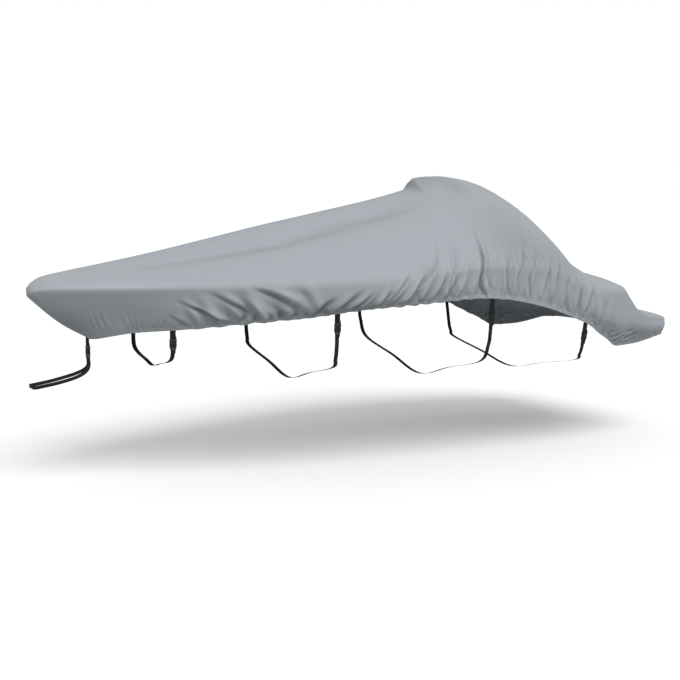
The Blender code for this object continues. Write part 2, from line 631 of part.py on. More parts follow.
def bow_band(bar_y, bar_z):
    """Edge points of the closed band: near strand, over the bar, far strand, post."""
    steps = 6
    over_bar = []
    for n in range(steps + 1):
        angle = math.pi * n / steps
        over_bar.append((BOW_STATION, bar_y - TURN_RADIUS * math.cos(angle),
                         bar_z + TURN_RADIUS * math.sin(angle)))
    far = smooth_route([over_bar[-1]] + [(x, bar_y + y, z) for x, y, z in BOW_STRAND], 3)[1:]
    near = [np.array((x, 2 * bar_y - y, z)) for x, y, z in reversed(far)]
    front = []
    height = BOW_STRAND[-1][2]
    side = BOW_STRAND[-1][1]
    for n in range(1, steps // 2 + 1):
        angle = 0.5 * math.pi * n / (steps // 2)
        front.append((POST_FRONT + POST_CORNER * (1 - math.sin(angle)),
                      bar_y + side - POST_CORNER * (1 - math.cos(angle)), height))
    front += [(x, 2 * bar_y - y, z) for x, y, z in reversed(front)]
    centre = near + over_bar + far + front
    edges = []
    count = len(centre)
    for n in range(count):
        along = np.array(centre[(n + 1) % count]) - np.array(centre[n - 1])
        slope = math.atan2(abs(along[2]), abs(along[0]) + 1e-9)
        if n >= count - len(front) or n == 0:
            slope = 0.0
        if len(near) <= n < len(near) + len(over_bar):
            slope = math.pi / 2
        lower = np.array((math.sin(slope), 0.0, -math.cos(slope))) * BOW_WIDTH / 2
        edges.append((tuple(np.array(centre[n]) - lower), tuple(np.array(centre[n]) + lower)))
    return edges + [edges[0]]


# ---------------------------------------------------------------- the cover
def main():
    clear_scene()
    parts = new_collection("boat_cover")
    cutters = new_collection("cutters")
    cutters.hide_render = True
    cloth = make_material("cover cloth")
    webbing = make_material("black webbing")
    plastic = make_material("black buckle")
    make_cloth(parts, cloth)
    for values in BELTS:
        row = dict(zip(BELT_COLUMNS, values))
        line = hang_line(row)
        make_tab(row, line, parts, webbing)
        make_buckle(row["name"], TAB_WIDTH, BELT_WIDTH, row["station"], line,
                    row["tab_drop"], parts, cutters, plastic)
        make_belt(row, line, parts, webbing)
    make_bow(parts, cutters, webbing, plastic)


main()
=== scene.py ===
"""Looks of a fitted boat cover: cloth, hem, webbing and buckles, dressed on the solids.

Stations are metres aft of the bow and heights are over the bow's rail, as a boat's lines
are drawn; to_frame brings them to the frame of the solids.
"""

import math

import bmesh
import bpy
import numpy as np
from mathutils import Matrix, Vector


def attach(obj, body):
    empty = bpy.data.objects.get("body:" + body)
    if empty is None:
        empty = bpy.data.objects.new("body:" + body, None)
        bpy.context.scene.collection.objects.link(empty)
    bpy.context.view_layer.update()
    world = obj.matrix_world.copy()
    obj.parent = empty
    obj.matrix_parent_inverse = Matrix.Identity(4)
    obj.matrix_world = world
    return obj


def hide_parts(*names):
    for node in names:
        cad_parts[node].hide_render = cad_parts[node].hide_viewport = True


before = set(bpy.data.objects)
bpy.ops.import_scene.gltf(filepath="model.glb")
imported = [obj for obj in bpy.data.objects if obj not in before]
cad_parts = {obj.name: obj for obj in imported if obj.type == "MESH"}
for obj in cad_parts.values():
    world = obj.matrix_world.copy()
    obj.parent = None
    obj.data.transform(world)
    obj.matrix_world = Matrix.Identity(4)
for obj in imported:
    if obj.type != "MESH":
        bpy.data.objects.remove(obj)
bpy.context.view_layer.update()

# ==================================================================== the view
# A long lens ten metres off the port bow, at the height of the covered windscreen and
# tipped down a little, so that the whole side and the foredeck show.
def new_object(name, data):
    """An object in the scene."""
    made = bpy.data.objects.new(name, data)
    bpy.context.scene.collection.objects.link(made)
    return made


camera_data = bpy.data.cameras.new("camera")
camera_data.lens = 69.35
camera_data.sensor_width = 36.0
camera = new_object("camera", camera_data)
camera.location = (-6.655, -9.825, 0.102)
camera.rotation_euler = (math.radians(90 - 7.61), 0.0, math.radians(-30))
bpy.context.scene.camera = camera

# ==================================================================== the cloth
# Polyester canvas with a coated inside, cut and sewn to the boat's shape: a straight slope
# from the bow, a round top over the windscreen, a hollow run down to the transom and a low
# box over the swim platform. The hem's cord gathers it into folds.
TOP_STATION = 3.75       # station and height of the solids' origin
TOP_HEIGHT = 0.851
CLOTH = 0.0016           # thickness of the cloth
SECTION_COLUMNS = ("station", "ridge_z", "sweep", "shoulder_y", "shoulder_z", "rail_y",
                   "rail_z", "edge", "hem_station", "hem_y", "hem_z", "belly", "sag", "turn")
SECTIONS = (
    (0.000, 0.024, 0.00, 0.000, 0.012, 0.000, -0.040, 0.30, 0.490, 0.000, -0.400, 0.000, 0.045, 1.0),
    (0.020, 0.044, 0.00, 0.020, 0.040, 0.055, -0.010, 0.30, 0.500, 0.020, -0.400, 0.000, 0.045, 1.0),
    (0.060, 0.074, 0.00, 0.045, 0.064, 0.090, 0.002, 0.30, 0.520, 0.055, -0.397, 0.000, 0.042, 1.0),
    (0.130, 0.109, 0.00, 0.070, 0.094, 0.140, 0.010, 0.30, 0.550, 0.090, -0.390, 0.002, 0.038, 1.0),
    (0.300, 0.143, 0.00, 0.125, 0.115, 0.245, 0.020, 0.30, 0.620, 0.156, -0.373, 0.004, 0.030, 1.0),
    (0.600, 0.193, 0.00, 0.210, 0.146, 0.405, 0.026, 0.30, 0.740, 0.256, -0.350, 0.008, 0.028, 1.0),
    (1.000, 0.265, 0.00, 0.300, 0.188, 0.580, 0.034, 0.35, 1.000, 0.420, -0.318, 0.018, 0.036, 0.9),
    (1.500, 0.367, 0.00, 0.390, 0.255, 0.760, 0.050, 0.55, 1.500, 0.614, -0.286, 0.032, 0.050, 0.8),
    (2.000, 0.474, 0.00, 0.470, 0.320, 0.905, 0.075, 0.80, 2.000, 0.782, -0.246, 0.042, 0.060, 0.7),
    (2.500, 0.574, 0.00, 0.530, 0.385, 1.005, 0.105, 0.95, 2.500, 0.898, -0.199, 0.048, 0.064, 0.7),
    (3.000, 0.672, 0.04, 0.560, 0.455, 1.075, 0.140, 1.00, 3.000, 1.010, -0.164, 0.034, 0.034, 0.8),
    (3.400, 0.764, 0.08, 0.570, 0.520, 1.108, 0.170, 1.00, 3.400, 1.082, -0.140, 0.014, 0.010, 0.9),
    (3.445, 0.776, 0.09, 0.570, 0.530, 1.108, 0.170, 1.00, 3.445, 1.086, -0.139, 0.013, 0.010, 0.9),
    (3.475, 0.788, 0.10, 0.570, 0.540, 1.112, 0.175, 1.00, 3.475, 1.090, -0.139, 0.012, 0.010, 0.9),
    (3.750, 0.8822, 0.08, 0.580, 0.645, 1.122, 0.180, 1.00, 3.750, 1.110, -0.159, 0.011, 0.008, 0.9),
    (3.900, 0.8653, 0.06, 0.580, 0.675, 1.125, 0.180, 1.00, 3.900, 1.114, -0.186, 0.011, 0.008, 0.9),
    (4.200, 0.793, 0.03, 0.590, 0.592, 1.125, 0.140, 1.00, 4.200, 1.111, -0.261, 0.014, 0.014, 0.8),
    (4.500, 0.590, 0.00, 0.600, 0.395, 1.115, 0.020, 1.00, 4.500, 1.091, -0.364, 0.022, 0.034, 0.65),
    (4.570, 0.452, 0.00, 0.610, 0.262, 1.111, -0.008, 0.985, 4.570, 1.082, -0.390, 0.024, 0.042, 0.60),
    (4.650, 0.338, 0.00, 0.630, 0.165, 1.105, -0.034, 0.95, 4.650, 1.068, -0.421, 0.027, 0.052, 0.55),
    (4.710, 0.250, 0.00, 0.653, 0.110, 1.100, -0.046, 0.92, 4.710, 1.054, -0.452, 0.030, 0.060, 0.52),
    (4.800, 0.098, 0.00, 0.690, 0.010, 1.090, -0.062, 0.85, 4.800, 1.020, -0.503, 0.038, 0.076, 0.5),
    (4.950, 0.045, 0.00, 0.720, -0.018, 1.070, -0.092, 0.60, 4.950, 0.972, -0.579, 0.052, 0.070, 0.5),
    (5.110, -0.006, 0.00, 0.720, -0.060, 1.030, -0.132, 0.40, 5.110, 0.930, -0.662, 0.060, 0.062, 0.5),
    (5.200, -0.100, 0.00, 0.720, -0.142, 1.000, -0.214, 0.45, 5.200, 0.912, -0.664, 0.060, 0.026, 0.5),
    (5.350, -0.315, 0.00, 0.720, -0.330, 0.970, -0.352, 0.45, 5.350, 0.888, -0.660, 0.050, 0.012, 0.5),
    (5.430, -0.345, 0.00, 0.710, -0.358, 0.955, -0.382, 0.45, 5.430, 0.878, -0.652, 0.046, 0.010, 0.6),
    (5.600, -0.370, 0.00, 0.680, -0.384, 0.920, -0.414, 0.45, 5.600, 0.862, -0.624, 0.040, 0.012, 0.7),
    (5.730, -0.395, 0.00, 0.620, -0.408, 0.884, -0.434, 0.45, 5.720, 0.850, -0.604, 0.030, 0.012, 0.8),
    (5.800, -0.412, 0.00, 0.560, -0.421, 0.785, -0.450, 0.45, 5.790, 0.762, -0.600, 0.020, 0.010, 0.9),
    (5.815, -0.590, 0.00, 0.540, -0.592, 0.690, -0.596, 0.45, 5.810, 0.740, -0.598, 0.000, 0.000, 1.0),
)
LEAN_COLUMNS = ("hem_station", "forward")
LEANS = (
    (0.00, 0.00), (0.55, 0.00), (0.80, 0.07), (1.02, 0.16), (1.29, 0.21), (1.45, 0.22),
    (1.80, 0.22), (2.03, 0.10), (2.26, -0.06), (2.34, -0.13), (2.93, -0.15), (3.30, -0.08),
    (3.60, -0.03), (4.10, -0.04), (4.63, 0.00), (4.97, -0.10), (5.20, -0.12), (5.50, 0.00),
    (5.81, 0.00),
)
LEAN_FROM = 0.45         # girth where the slant of the columns starts
FOLD_COLUMNS = ("hem_station", "half_width", "height", "start", "at_hem")
FOLDS = (
    (0.60, 0.024, 0.006, 0.72, 0.6), (0.65, 0.024, 0.008, 0.66, 0.6),
    (0.70, 0.024, 0.006, 0.72, 0.6),
    (1.22, 0.060, 0.014, 0.55, 0.3), (1.36, 0.060, 0.022, 0.52, 0.2),
    (1.53, 0.070, 0.026, 0.48, 0.2), (1.71, 0.075, 0.030, 0.45, 0.2),
    (1.90, 0.070, 0.028, 0.44, 0.2), (2.06, 0.055, 0.020, 0.50, 0.3),
    (2.42, 0.050, 0.016, 0.62, 0.2), (2.53, 0.050, 0.022, 0.58, 0.2),
    (2.65, 0.055, 0.020, 0.55, 0.2), (2.77, 0.055, 0.024, 0.52, 0.3),
    (2.90, 0.050, 0.018, 0.48, 0.4), (3.01, 0.050, 0.016, 0.44, 0.4),
    (3.13, 0.055, 0.018, 0.36, 0.5), (3.26, 0.055, 0.020, 0.34, 0.5),
    (3.39, 0.050, 0.014, 0.36, 0.5), (3.51, 0.045, 0.012, 0.36, 0.5),
    (3.69, 0.045, 0.018, 0.30, 0.6), (3.81, 0.055, 0.014, 0.38, 0.5),
    (3.94, 0.055, 0.018, 0.36, 0.5), (4.07, 0.050, 0.014, 0.40, 0.6),
    (4.18, 0.050, 0.020, 0.34, 0.5), (4.31, 0.055, 0.016, 0.38, 0.5),
    (4.44, 0.055, 0.020, 0.36, 0.5), (4.55, 0.035, 0.012, 0.44, 0.5),
    (4.74, 0.045, 0.018, 0.46, 0.5), (4.86, 0.050, 0.014, 0.50, 0.5),
    (4.99, 0.030, 0.005, 0.62, 0.4), (5.06, 0.030, 0.004, 0.58, 0.3),
    (5.13, 0.030, 0.004, 0.60, 0.3), (5.20, 0.030, 0.005, 0.62, 0.4),
)
FOLD_PEAK = 0.86         # girth where a fold stands highest
FOOT_SHARE = 0.45        # depth of the trough at a fold's foot, as a share of its height
STARBOARD_SHIFT = 5      # starboard folds take the heights of their neighbours this far on
VALLEY_COLUMNS = ("station", "girth", "depth")
VALLEY = (
    (0.60, 0.24, 0.000), (1.00, 0.23, 0.024), (1.90, 0.22, 0.050), (2.40, 0.17, 0.052),
    (3.00, 0.14, 0.046), (3.35, 0.13, 0.014), (3.50, 0.12, 0.000),
)
VALLEY_WIDTH = (0.085, 0.045)    # half widths of the valley, as girth: ridge side, rail side
PEAK_COLUMNS = ("station", "height")
PEAK = (
    (3.460, 0.000), (3.490, 0.070), (3.550, 0.055), (3.600, 0.037), (3.650, 0.020),
    (3.700, 0.005), (3.750, 0.000),
)
PEAK_WIDTH = 0.11

# Over the swim platform's end the cloth rolls under, forward of the end's widest part.
ROLL = 0.012             # how far forward the hem is of the end
ROLL_FROM = -0.470       # height where the roll starts
ROLL_DROP = 0.110        # height that it takes
ROLL_STATIONS = (5.45, 5.70)     # where it grows from nothing to the whole

# Creases, placed one by one: the upper end, a point on the way and the lower end, each as
# hem station and girth, then the half width and depth in metres. The last value is the
# side on which the cloth stands up beside the crease: -1 forward, 1 aft, 0 both.
CREASES = (
    (0.27, 0.71, 0.23, 0.82, 0.19, 0.93, 0.009, 0.007, 1),
    (0.32, 0.70, 0.28, 0.83, 0.24, 0.95, 0.009, 0.008, 1),
    (0.38, 0.69, 0.35, 0.83, 0.32, 0.95, 0.010, 0.008, 1),
    (0.45, 0.74, 0.44, 0.85, 0.43, 0.96, 0.010, 0.005, 1),
    (0.54, 0.72, 0.55, 0.84, 0.56, 0.96, 0.012, 0.005, 1),
    (1.00, 0.76, 1.07, 0.87, 1.13, 0.97, 0.024, 0.014, 1),
    (1.10, 0.61, 1.28, 0.75, 1.33, 0.98, 0.026, 0.035, 1),
    (1.32, 0.78, 1.38, 0.88, 1.43, 1.00, 0.022, 0.022, 1),
    (1.38, 0.54, 1.52, 0.66, 1.48, 0.97, 0.030, 0.039, 1),
    (1.53, 0.84, 1.54, 0.91, 1.54, 1.00, 0.016, 0.015, 0),
    (1.60, 0.60, 1.64, 0.74, 1.62, 0.96, 0.026, 0.030, 1),
    (1.72, 0.76, 1.73, 0.87, 1.72, 1.00, 0.022, 0.024, 0),
    (1.72, 0.53, 1.87, 0.65, 1.89, 0.82, 0.030, 0.043, 1),
    (1.83, 0.80, 1.82, 0.89, 1.80, 1.00, 0.022, 0.026, 0),
    (1.97, 0.68, 1.93, 0.82, 1.92, 0.98, 0.024, 0.037, -1),
    (1.98, 0.54, 2.03, 0.66, 2.02, 0.86, 0.020, 0.019, 1),
    (2.01, 0.84, 2.00, 0.91, 1.99, 1.00, 0.016, 0.019, 0),
    (2.08, 0.71, 2.06, 0.84, 2.05, 0.98, 0.022, 0.035, -1),
    (2.20, 0.67, 2.12, 0.82, 2.08, 0.98, 0.026, 0.035, -1),
    (2.16, 0.86, 2.15, 0.92, 2.14, 1.00, 0.014, 0.015, 0),
    (2.34, 0.62, 2.28, 0.79, 2.22, 0.97, 0.026, 0.032, -1),
    (2.42, 0.64, 2.40, 0.80, 2.34, 0.97, 0.022, 0.028, -1),
    (2.47, 0.82, 2.45, 0.90, 2.43, 1.00, 0.016, 0.015, -1),
    (2.58, 0.68, 2.56, 0.82, 2.52, 0.98, 0.022, 0.026, -1),
    (2.73, 0.49, 2.66, 0.66, 2.65, 0.98, 0.018, 0.022, -1),
    (2.80, 0.78, 2.77, 0.87, 2.74, 0.99, 0.016, 0.015, -1),
    (2.88, 0.48, 2.81, 0.68, 2.83, 0.97, 0.017, 0.019, -1),
    (2.89, 0.56, 2.92, 0.74, 2.95, 0.97, 0.014, 0.014, 1),
    (3.15, 0.30, 2.90, 0.54, 2.94, 0.96, 0.014, 0.022, 1),
    (3.03, 0.54, 3.06, 0.73, 3.08, 0.96, 0.013, 0.018, 1),
    (3.26, 0.30, 3.14, 0.50, 3.22, 0.97, 0.012, 0.026, -1),
    (3.30, 0.33, 3.17, 0.52, 3.26, 0.88, 0.010, 0.013, 1),
    (3.54, 0.29, 3.44, 0.56, 3.54, 1.00, 0.012, 0.032, 1),
    (3.60, 0.34, 3.50, 0.56, 3.60, 0.90, 0.011, 0.013, 1),
    (3.67, 0.48, 3.71, 0.76, 3.76, 0.99, 0.012, 0.021, -1),
    (3.84, 0.38, 3.74, 0.54, 3.77, 0.95, 0.011, 0.017, 1),
    (4.05, 0.34, 3.88, 0.54, 3.88, 0.96, 0.015, 0.024, -1),
    (3.91, 0.62, 3.95, 0.80, 3.98, 0.98, 0.011, 0.017, 1),
    (4.11, 0.40, 3.98, 0.58, 3.98, 0.96, 0.013, 0.021, -1),
    (4.22, 0.44, 4.12, 0.70, 4.11, 0.98, 0.013, 0.024, -1),
    (4.38, 0.40, 4.24, 0.65, 4.26, 0.97, 0.015, 0.024, -1),
    (4.46, 0.48, 4.36, 0.67, 4.40, 0.96, 0.013, 0.019, 1),
    (4.57, 0.53, 4.52, 0.69, 4.50, 0.97, 0.013, 0.024, -1),
    (4.71, 0.50, 4.64, 0.69, 4.57, 0.97, 0.016, 0.033, -1),
    (4.80, 0.60, 4.79, 0.70, 4.78, 0.82, 0.018, 0.012, -1),
    (5.00, 0.84, 4.96, 0.92, 4.92, 0.99, 0.014, 0.010, 1),
    (5.14, 0.79, 5.04, 0.90, 4.97, 0.99, 0.014, 0.014, 1),
    (5.26, 0.76, 5.13, 0.88, 5.02, 1.00, 0.014, 0.016, 1),
    (5.37, 0.78, 5.21, 0.90, 5.08, 1.00, 0.014, 0.014, 1),
)

# Soft patches of painted highlight (above 0) and painted shade (below 0) on the canvas: hem
# station, girth, reach along and down the cloth, and the change as a share of its colour.
PAINTED_LIGHT_PATCHES = (
    (0.05, 0.80, 0.14, 0.14, -0.20), (0.48, 0.88, 0.28, 0.10, 0.20),
    (0.45, 0.49, 0.60, 0.05, 0.12), (3.53, 0.02, 0.24, 0.055, -0.20),
    (3.72, 0.12, 0.09, 0.055, -0.18), (3.80, 0.31, 0.20, 0.09, -0.06),
    (3.80, 0.45, 0.24, 0.13, -0.12), (4.15, 0.50, 0.30, 0.13, -0.13),
    (4.42, 0.50, 0.16, 0.13, -0.05), (2.86, 0.55, 0.10, 0.05, -0.10),
    (2.60, 0.63, 0.30, 0.07, 0.10), (3.20, 0.74, 0.40, 0.12, 0.14),
    (3.70, 0.84, 0.40, 0.14, 0.08), (4.25, 0.80, 0.30, 0.12, 0.10),
    (5.08, 0.93, 0.12, 0.07, -0.14), (5.33, 0.76, 0.18, 0.10, -0.18),
    (5.33, 0.42, 0.10, 0.20, -0.10), (2.22, 0.94, 0.34, 0.09, -0.24),
)
VALLEY_PAINTED_SHADE = (0.024, -0.17)     # half width, as girth, and painted shade of the valley's bottom line
VALLEY_DEEP = 0.04       # depth at which it has the whole of that painted shade
DRAWN_FEET = (0.0, 1.0, 1.6, 2.6, 3.3, 3.9, 4.5, 4.9, 5.4)    # hem stations
DRAWN_FROM = (0.80, 0.74, 0.58, 0.62, 0.34, 0.24, 0.36, 0.60, 0.74)    # girth at each
DRAWN_GIRTH, DRAWN_STEM = 0.30, 0.5      # girth and hem station in which the creases grow
BANK_AWAY, BANK_WIDTH, BANK_RISE = 2.1, 1.3, 0.28    # in half widths and depths of a crease
CREASE_STARTS = 0.4      # share of its length in which a crease deepens from its upper end
CREASE_FADES = (0.7, 0.55)       # from this share of its length it loses this share of depth
HEM_HOLDS = 0.7          # share of a crease's depth that the hem's cord takes away
HEM_HOLDS_FROM = 0.93    # girth where that starts
STARBOARD_SEED = 5
STARBOARD_SHIFT_TO = (-0.06, 0.06)       # how far its creases lie from their like to port
STARBOARD_RISE = (-0.04, 0.10)           # girth by which they start lower down
STARBOARD_RISE_FROM = 0.6        # hem station from which they do
STARBOARD_BEND = (-0.02, 0.02)
STARBOARD_WIDTH, STARBOARD_DEPTH = (0.8, 1.2), (0.6, 1.2)    # as shares of theirs
GATHERS = 190            # short gathers that the hem's cord pulls, on each side
GATHER_SEEDS = {-1: 21, 1: 22}
GATHER_FEET = (0.62, 5.72)       # hem stations between which they lie
GATHER_REACH = (0.05, 0.20)      # girth that they take
GATHER_LONG = (1.2, 2.6, 1.3)    # between these stations they are this much longer
GATHER_LEAN = 0.02
GATHER_HALF_WIDTH, GATHER_DEPTH = (0.009, 0.014), (0.003, 0.007)
UNEVEN_SEEDS = {-1: 11, 1: 12}
UNEVEN_WAVES = 14
UNEVEN = 0.0011          # height of each of the slow waves
UNEVEN_RISE = (0.03, 0.15)       # girth where they start, and in which they grow
STEM = 0.08              # no fold closer to the stem's seam than this
HOLD_DOWNS = (1.02, 2.26, 3.60, 4.63)    # hem stations of the sewn webbing
HELD_REACH = 0.045       # how far from it the cloth lies flat
HELD_RISE = (0.84, 0.09)         # girth where it does so, and in which that grows
HELD_SMOOTH = 0.8        # share of the fine creases that it takes away
PAINTED_LIGHT_PER_METRE = (6.5, 12.0)     # painted light and shade per metre of a crease's height and of a gather's height
TROUGH_PAINTED_SHADE, BANK_PAINTED_HIGHLIGHT = 1.25, 0.35   # how much of that is painted as shade in troughs and as highlight on banks
TONES = (-0.5, 0.25)     # darkest painted shade and palest painted highlight
CANVAS_COLOUR = (0.365, 0.402, 0.430)
CANVAS_STOP = 2 / 3      # place of the plain colour between the darkest and the palest
CANVAS_SHADES = (0.5, 1.25)      # of those two, as shares of it
THREAD_PITCH = 0.0011
COLUMN_SPANS = (         # hem stations of the cloth's columns, closer where it turns quickly
    (0.0, 0.06, 8), (0.06, 3.40, 225), (3.40, 3.50, 14), (3.50, 5.08, 122),
    (5.08, 5.30, 26), (5.30, 5.72, 32), (5.72, 5.80, 12), (5.80, 5.815, 16),
)
ROW_SPANS = ((0.0, 0.44, 12), (0.44, 0.90, 30), (0.90, 1.0, 11))     # girths of its rows
DOUBLES = 0.0002         # points of a mesh closer than this become one


def to_frame(points):
    return np.asarray(points) - (TOP_STATION, 0.0, TOP_HEIGHT)


def columns_of(names, rows):
    return {name: np.array([row[i] for row in rows], float) for i, name in enumerate(names)}


def smooth_through(xs, ys, x):
    """A cubic through a table's points that never overshoots them."""
    step = np.diff(xs)
    slope = np.diff(ys) / step
    before = 2 * step[1:] + step[:-1]
    after = step[1:] + 2 * step[:-1]
    same_way = slope[:-1] * slope[1:] > 0
    fore = np.where(same_way, slope[:-1], 1.0)
    aft = np.where(same_way, slope[1:], 1.0)
    mean = np.where(same_way, (before + after) / (before / fore + after / aft), 0.0)
    tangent = np.concatenate(([slope[0]], mean, [slope[-1]]))
    i = np.clip(np.searchsorted(xs, x, side="right") - 1, 0, len(xs) - 2)
    t = (x - xs[i]) / step[i]
    return (ys[i] * (1 + 2 * t) * (1 - t) ** 2 + step[i] * tangent[i] * t * (1 - t) ** 2
            + ys[i + 1] * t * t * (3 - 2 * t) + step[i] * tangent[i + 1] * t * t * (t - 1))


def ease(t):
    t = np.clip(t, 0.0, 1.0)
    return t * t * (3 - 2 * t)


section_table = columns_of(SECTION_COLUMNS, SECTIONS)
lean_table = columns_of(LEAN_COLUMNS, LEANS)
fold_table = columns_of(FOLD_COLUMNS, FOLDS)
valley_table = columns_of(VALLEY_COLUMNS, VALLEY)
peak_table = columns_of(PEAK_COLUMNS, PEAK)


def section_cloth(station, girth):
    """Cross sections, starboard side: girth runs from 0, ridge, to 1, hem."""
    at = {name: smooth_through(section_table["station"], section_table[name], station)
          for name in SECTION_COLUMNS[1:]}
    zero = np.zeros_like(station)
    ridge = np.stack((station, zero, at["ridge_z"]), -1)
    shoulder = np.stack((station + at["sweep"], at["shoulder_y"], at["shoulder_z"]), -1)
    rail = np.stack((station, at["rail_y"], at["rail_z"]), -1)
    hem = np.stack((at["hem_station"], at["hem_y"], at["hem_z"]), -1)
    waist = (rail + hem) / 2 + np.stack((zero, at["belly"], -at["sag"]), -1)
    knots = np.stack((shoulder * (1, -1, 1), ridge, shoulder, rail, waist, hem, hem))
    softness = np.stack((zero + 0.5, zero + 1.0, at["edge"], at["turn"], zero))
    along = girth * 4
    k = np.rint(along).astype(int)
    place = np.arange(station.size).reshape(station.shape)
    flat = knots.reshape(7, -1, 3)
    corner = flat[k + 1, place]
    soft = softness.reshape(5, -1)[k, place]
    half = (soft / 2)[..., None]
    away = (along - k)[..., None]
    before = flat[k, place] - corner
    after = flat[k + 2, place] - corner
    t = np.clip(away / np.maximum(soft[..., None], 1e-6) + 0.5, 0, 1)
    turn = corner + before * half * (1 - t) ** 2 + after * half * t ** 2
    straight = corner + np.where(away > 0, after, before) * np.abs(away)
    return np.where(np.abs(away) < half, turn, straight)


def bare_cloth(station, girth):
    """The cloth without folds, with the windscreen's peak and the rolled-under stern."""
    point = section_cloth(station, girth)
    peak = np.interp(station, peak_table["station"], peak_table["height"])
    grown = ease((station - ROLL_STATIONS[0]) / (ROLL_STATIONS[1] - ROLL_STATIONS[0]))
    under = ease((ROLL_FROM - point[..., 2]) / ROLL_DROP) ** 2 * grown
    point[..., 2] += peak * np.exp(-(point[..., 1] / PEAK_WIDTH) ** 2)
    point[..., 0] -= ROLL * under
    return point


def station_of(foot, girth):
    """A column leans, so its station changes from its foot on the hem to its top."""
    share = 1 - ease((girth - LEAN_FROM) / (1 - LEAN_FROM))
    return foot - np.interp(foot, lean_table["hem_station"], lean_table["forward"]) * share


def out_of_cloth(station, girth):
    """Unit normal of the bare cloth, pointing away from the boat."""
    reach = 0.004
    down = (bare_cloth(station, np.minimum(girth + reach, 1.0))
            - bare_cloth(station, np.maximum(girth - reach, 0.0)))
    aft = (bare_cloth(np.minimum(station + reach, SECTIONS[-1][0]), girth)
           - bare_cloth(np.maximum(station - reach, 0.0), girth))
    normal = np.cross(aft, down)
    return normal / np.maximum(np.linalg.norm(normal, axis=-1, keepdims=True), 1e-9)


def fold_height(foot, girth, side):
    """The main folds, which the solid of the cloth has too."""
    heights = fold_table["height"]
    if side > 0:
        heights = 0.5 * (heights + np.roll(heights, -STARBOARD_SHIFT))
    total = np.zeros_like(foot)
    for i, centre in enumerate(fold_table["hem_station"]):
        away = np.abs(foot - centre) / fold_table["half_width"][i]
        ridge = 0.5 + 0.5 * np.cos(math.pi * np.minimum(away, 1.0))
        trough = FOOT_SHARE * (0.5 - 0.5 * np.cos(math.pi * np.minimum(away, 2.0)))
        start = fold_table["start"][i]
        rise = ease((girth - start) / (FOLD_PEAK - start))
        at_hem = fold_table["at_hem"][i]
        drawn_in = 1 - (1 - at_hem) * ease((girth - FOLD_PEAK) / (1 - FOLD_PEAK))
        total += heights[i] * (ridge - trough) * rise * drawn_in
    return total


def valley_line(station):
    """Girth and depth of the valley's bottom line."""
    return [np.interp(station, valley_table["station"], valley_table[name])
            for name in ("girth", "depth")]


def valley_depth(station, girth):
    """The long soft valley in the foredeck, between ridge and rail."""
    centre, depth = valley_line(station)
    width = np.where(girth < centre, *VALLEY_WIDTH)
    return depth * np.exp(-((girth - centre) / width) ** 2)


def crease_height(foot, girth, creases):
    """Creases as narrow troughs, each with a soft bank beside it. The hem's cord holds
    the edge itself nearly straight."""
    total = np.zeros_like(foot)
    at_edge = 1 - HEM_HOLDS * ease((girth - HEM_HOLDS_FROM) / (1 - HEM_HOLDS_FROM))
    for top, top_girth, mid, mid_girth, low, low_girth, half_width, depth, bank in creases:
        t = np.clip((girth - top_girth) / (low_girth - top_girth), 0.0, 1.0)
        bend = (mid_girth - top_girth) / (low_girth - top_girth)
        lift = (mid - top - (low - top) * bend) / (bend * (1 - bend))
        away = (foot - (top + (low - top) * t + lift * t * (1 - t))) / half_width
        near = np.abs(away) < 6
        if not near.any():
            continue
        fade = CREASE_FADES[1] * ease((t - CREASE_FADES[0]) / (1 - CREASE_FADES[0]))
        strength = ease(t / CREASE_STARTS) * (1 - fade) * (girth > top_girth)
        trough = np.exp(-np.abs(away) ** 1.5)
        fore = np.exp(-((away + BANK_AWAY) / BANK_WIDTH) ** 2)
        aft = np.exp(-((away - BANK_AWAY) / BANK_WIDTH) ** 2)
        banks = BANK_RISE * (fore * (1 - bank) + aft * (1 + bank))
        total += np.where(near, depth * (banks - trough) * strength, 0.0)
    return total * at_edge


def starboard_creases():
    """The other side's creases: the same kind and number, each in its own place."""
    luck = np.random.default_rng(STARBOARD_SEED)
    creases = []
    for top, top_girth, mid, mid_girth, low, low_girth, half_width, depth, bank in CREASES:
        shift = luck.uniform(*STARBOARD_SHIFT_TO)
        rise = luck.uniform(*STARBOARD_RISE) * (low > STARBOARD_RISE_FROM)
        bend = luck.uniform(*STARBOARD_BEND)
        creases.append((top + shift, top_girth + rise, mid + shift + bend, mid_girth + rise / 2,
                        low + shift, low_girth, half_width * luck.uniform(*STARBOARD_WIDTH),
                        depth * luck.uniform(*STARBOARD_DEPTH), bank))
    return creases


def hem_gathers(seed):
    """Short gathers over the hem, close together where the cord is drawn tight."""
    luck = np.random.default_rng(seed)
    creases = []
    for _ in range(GATHERS):
        foot = luck.uniform(*GATHER_FEET)
        longer = GATHER_LONG[2] if GATHER_LONG[0] < foot < GATHER_LONG[1] else 1.0
        reach = luck.uniform(*GATHER_REACH) * longer
        lean = luck.normal(0.0, GATHER_LEAN)
        creases.append((foot + lean, 1.0 - reach, foot + lean / 2, 1.0 - reach / 2, foot, 1.001,
                        luck.uniform(*GATHER_HALF_WIDTH), luck.uniform(*GATHER_DEPTH), 0))
    return creases


def soft_unevenness(station, girth, side):
    """Slow waves of a few millimetres, which no hung cloth is without."""
    luck = np.random.default_rng(UNEVEN_SEEDS[side])
    total = np.zeros_like(station)
    for _ in range(UNEVEN_WAVES):
        along = luck.uniform(0.5, 4.0)
        down = luck.uniform(-9.0, 9.0)
        total += UNEVEN * np.sin(along * station * 2 + down * girth + luck.uniform(0, 6.28))
    return total * ease((girth - UNEVEN_RISE[0]) / UNEVEN_RISE[1])


def held_flat(foot, girth):
    """Where sewn webbing keeps the cloth flat: near 1 round a tab or a belt's end."""
    spots = [np.exp(-((foot - station) / HELD_REACH) ** 4) for station in HOLD_DOWNS]
    return np.max(spots, axis=0) * ease((girth - HELD_RISE[0]) / HELD_RISE[1])


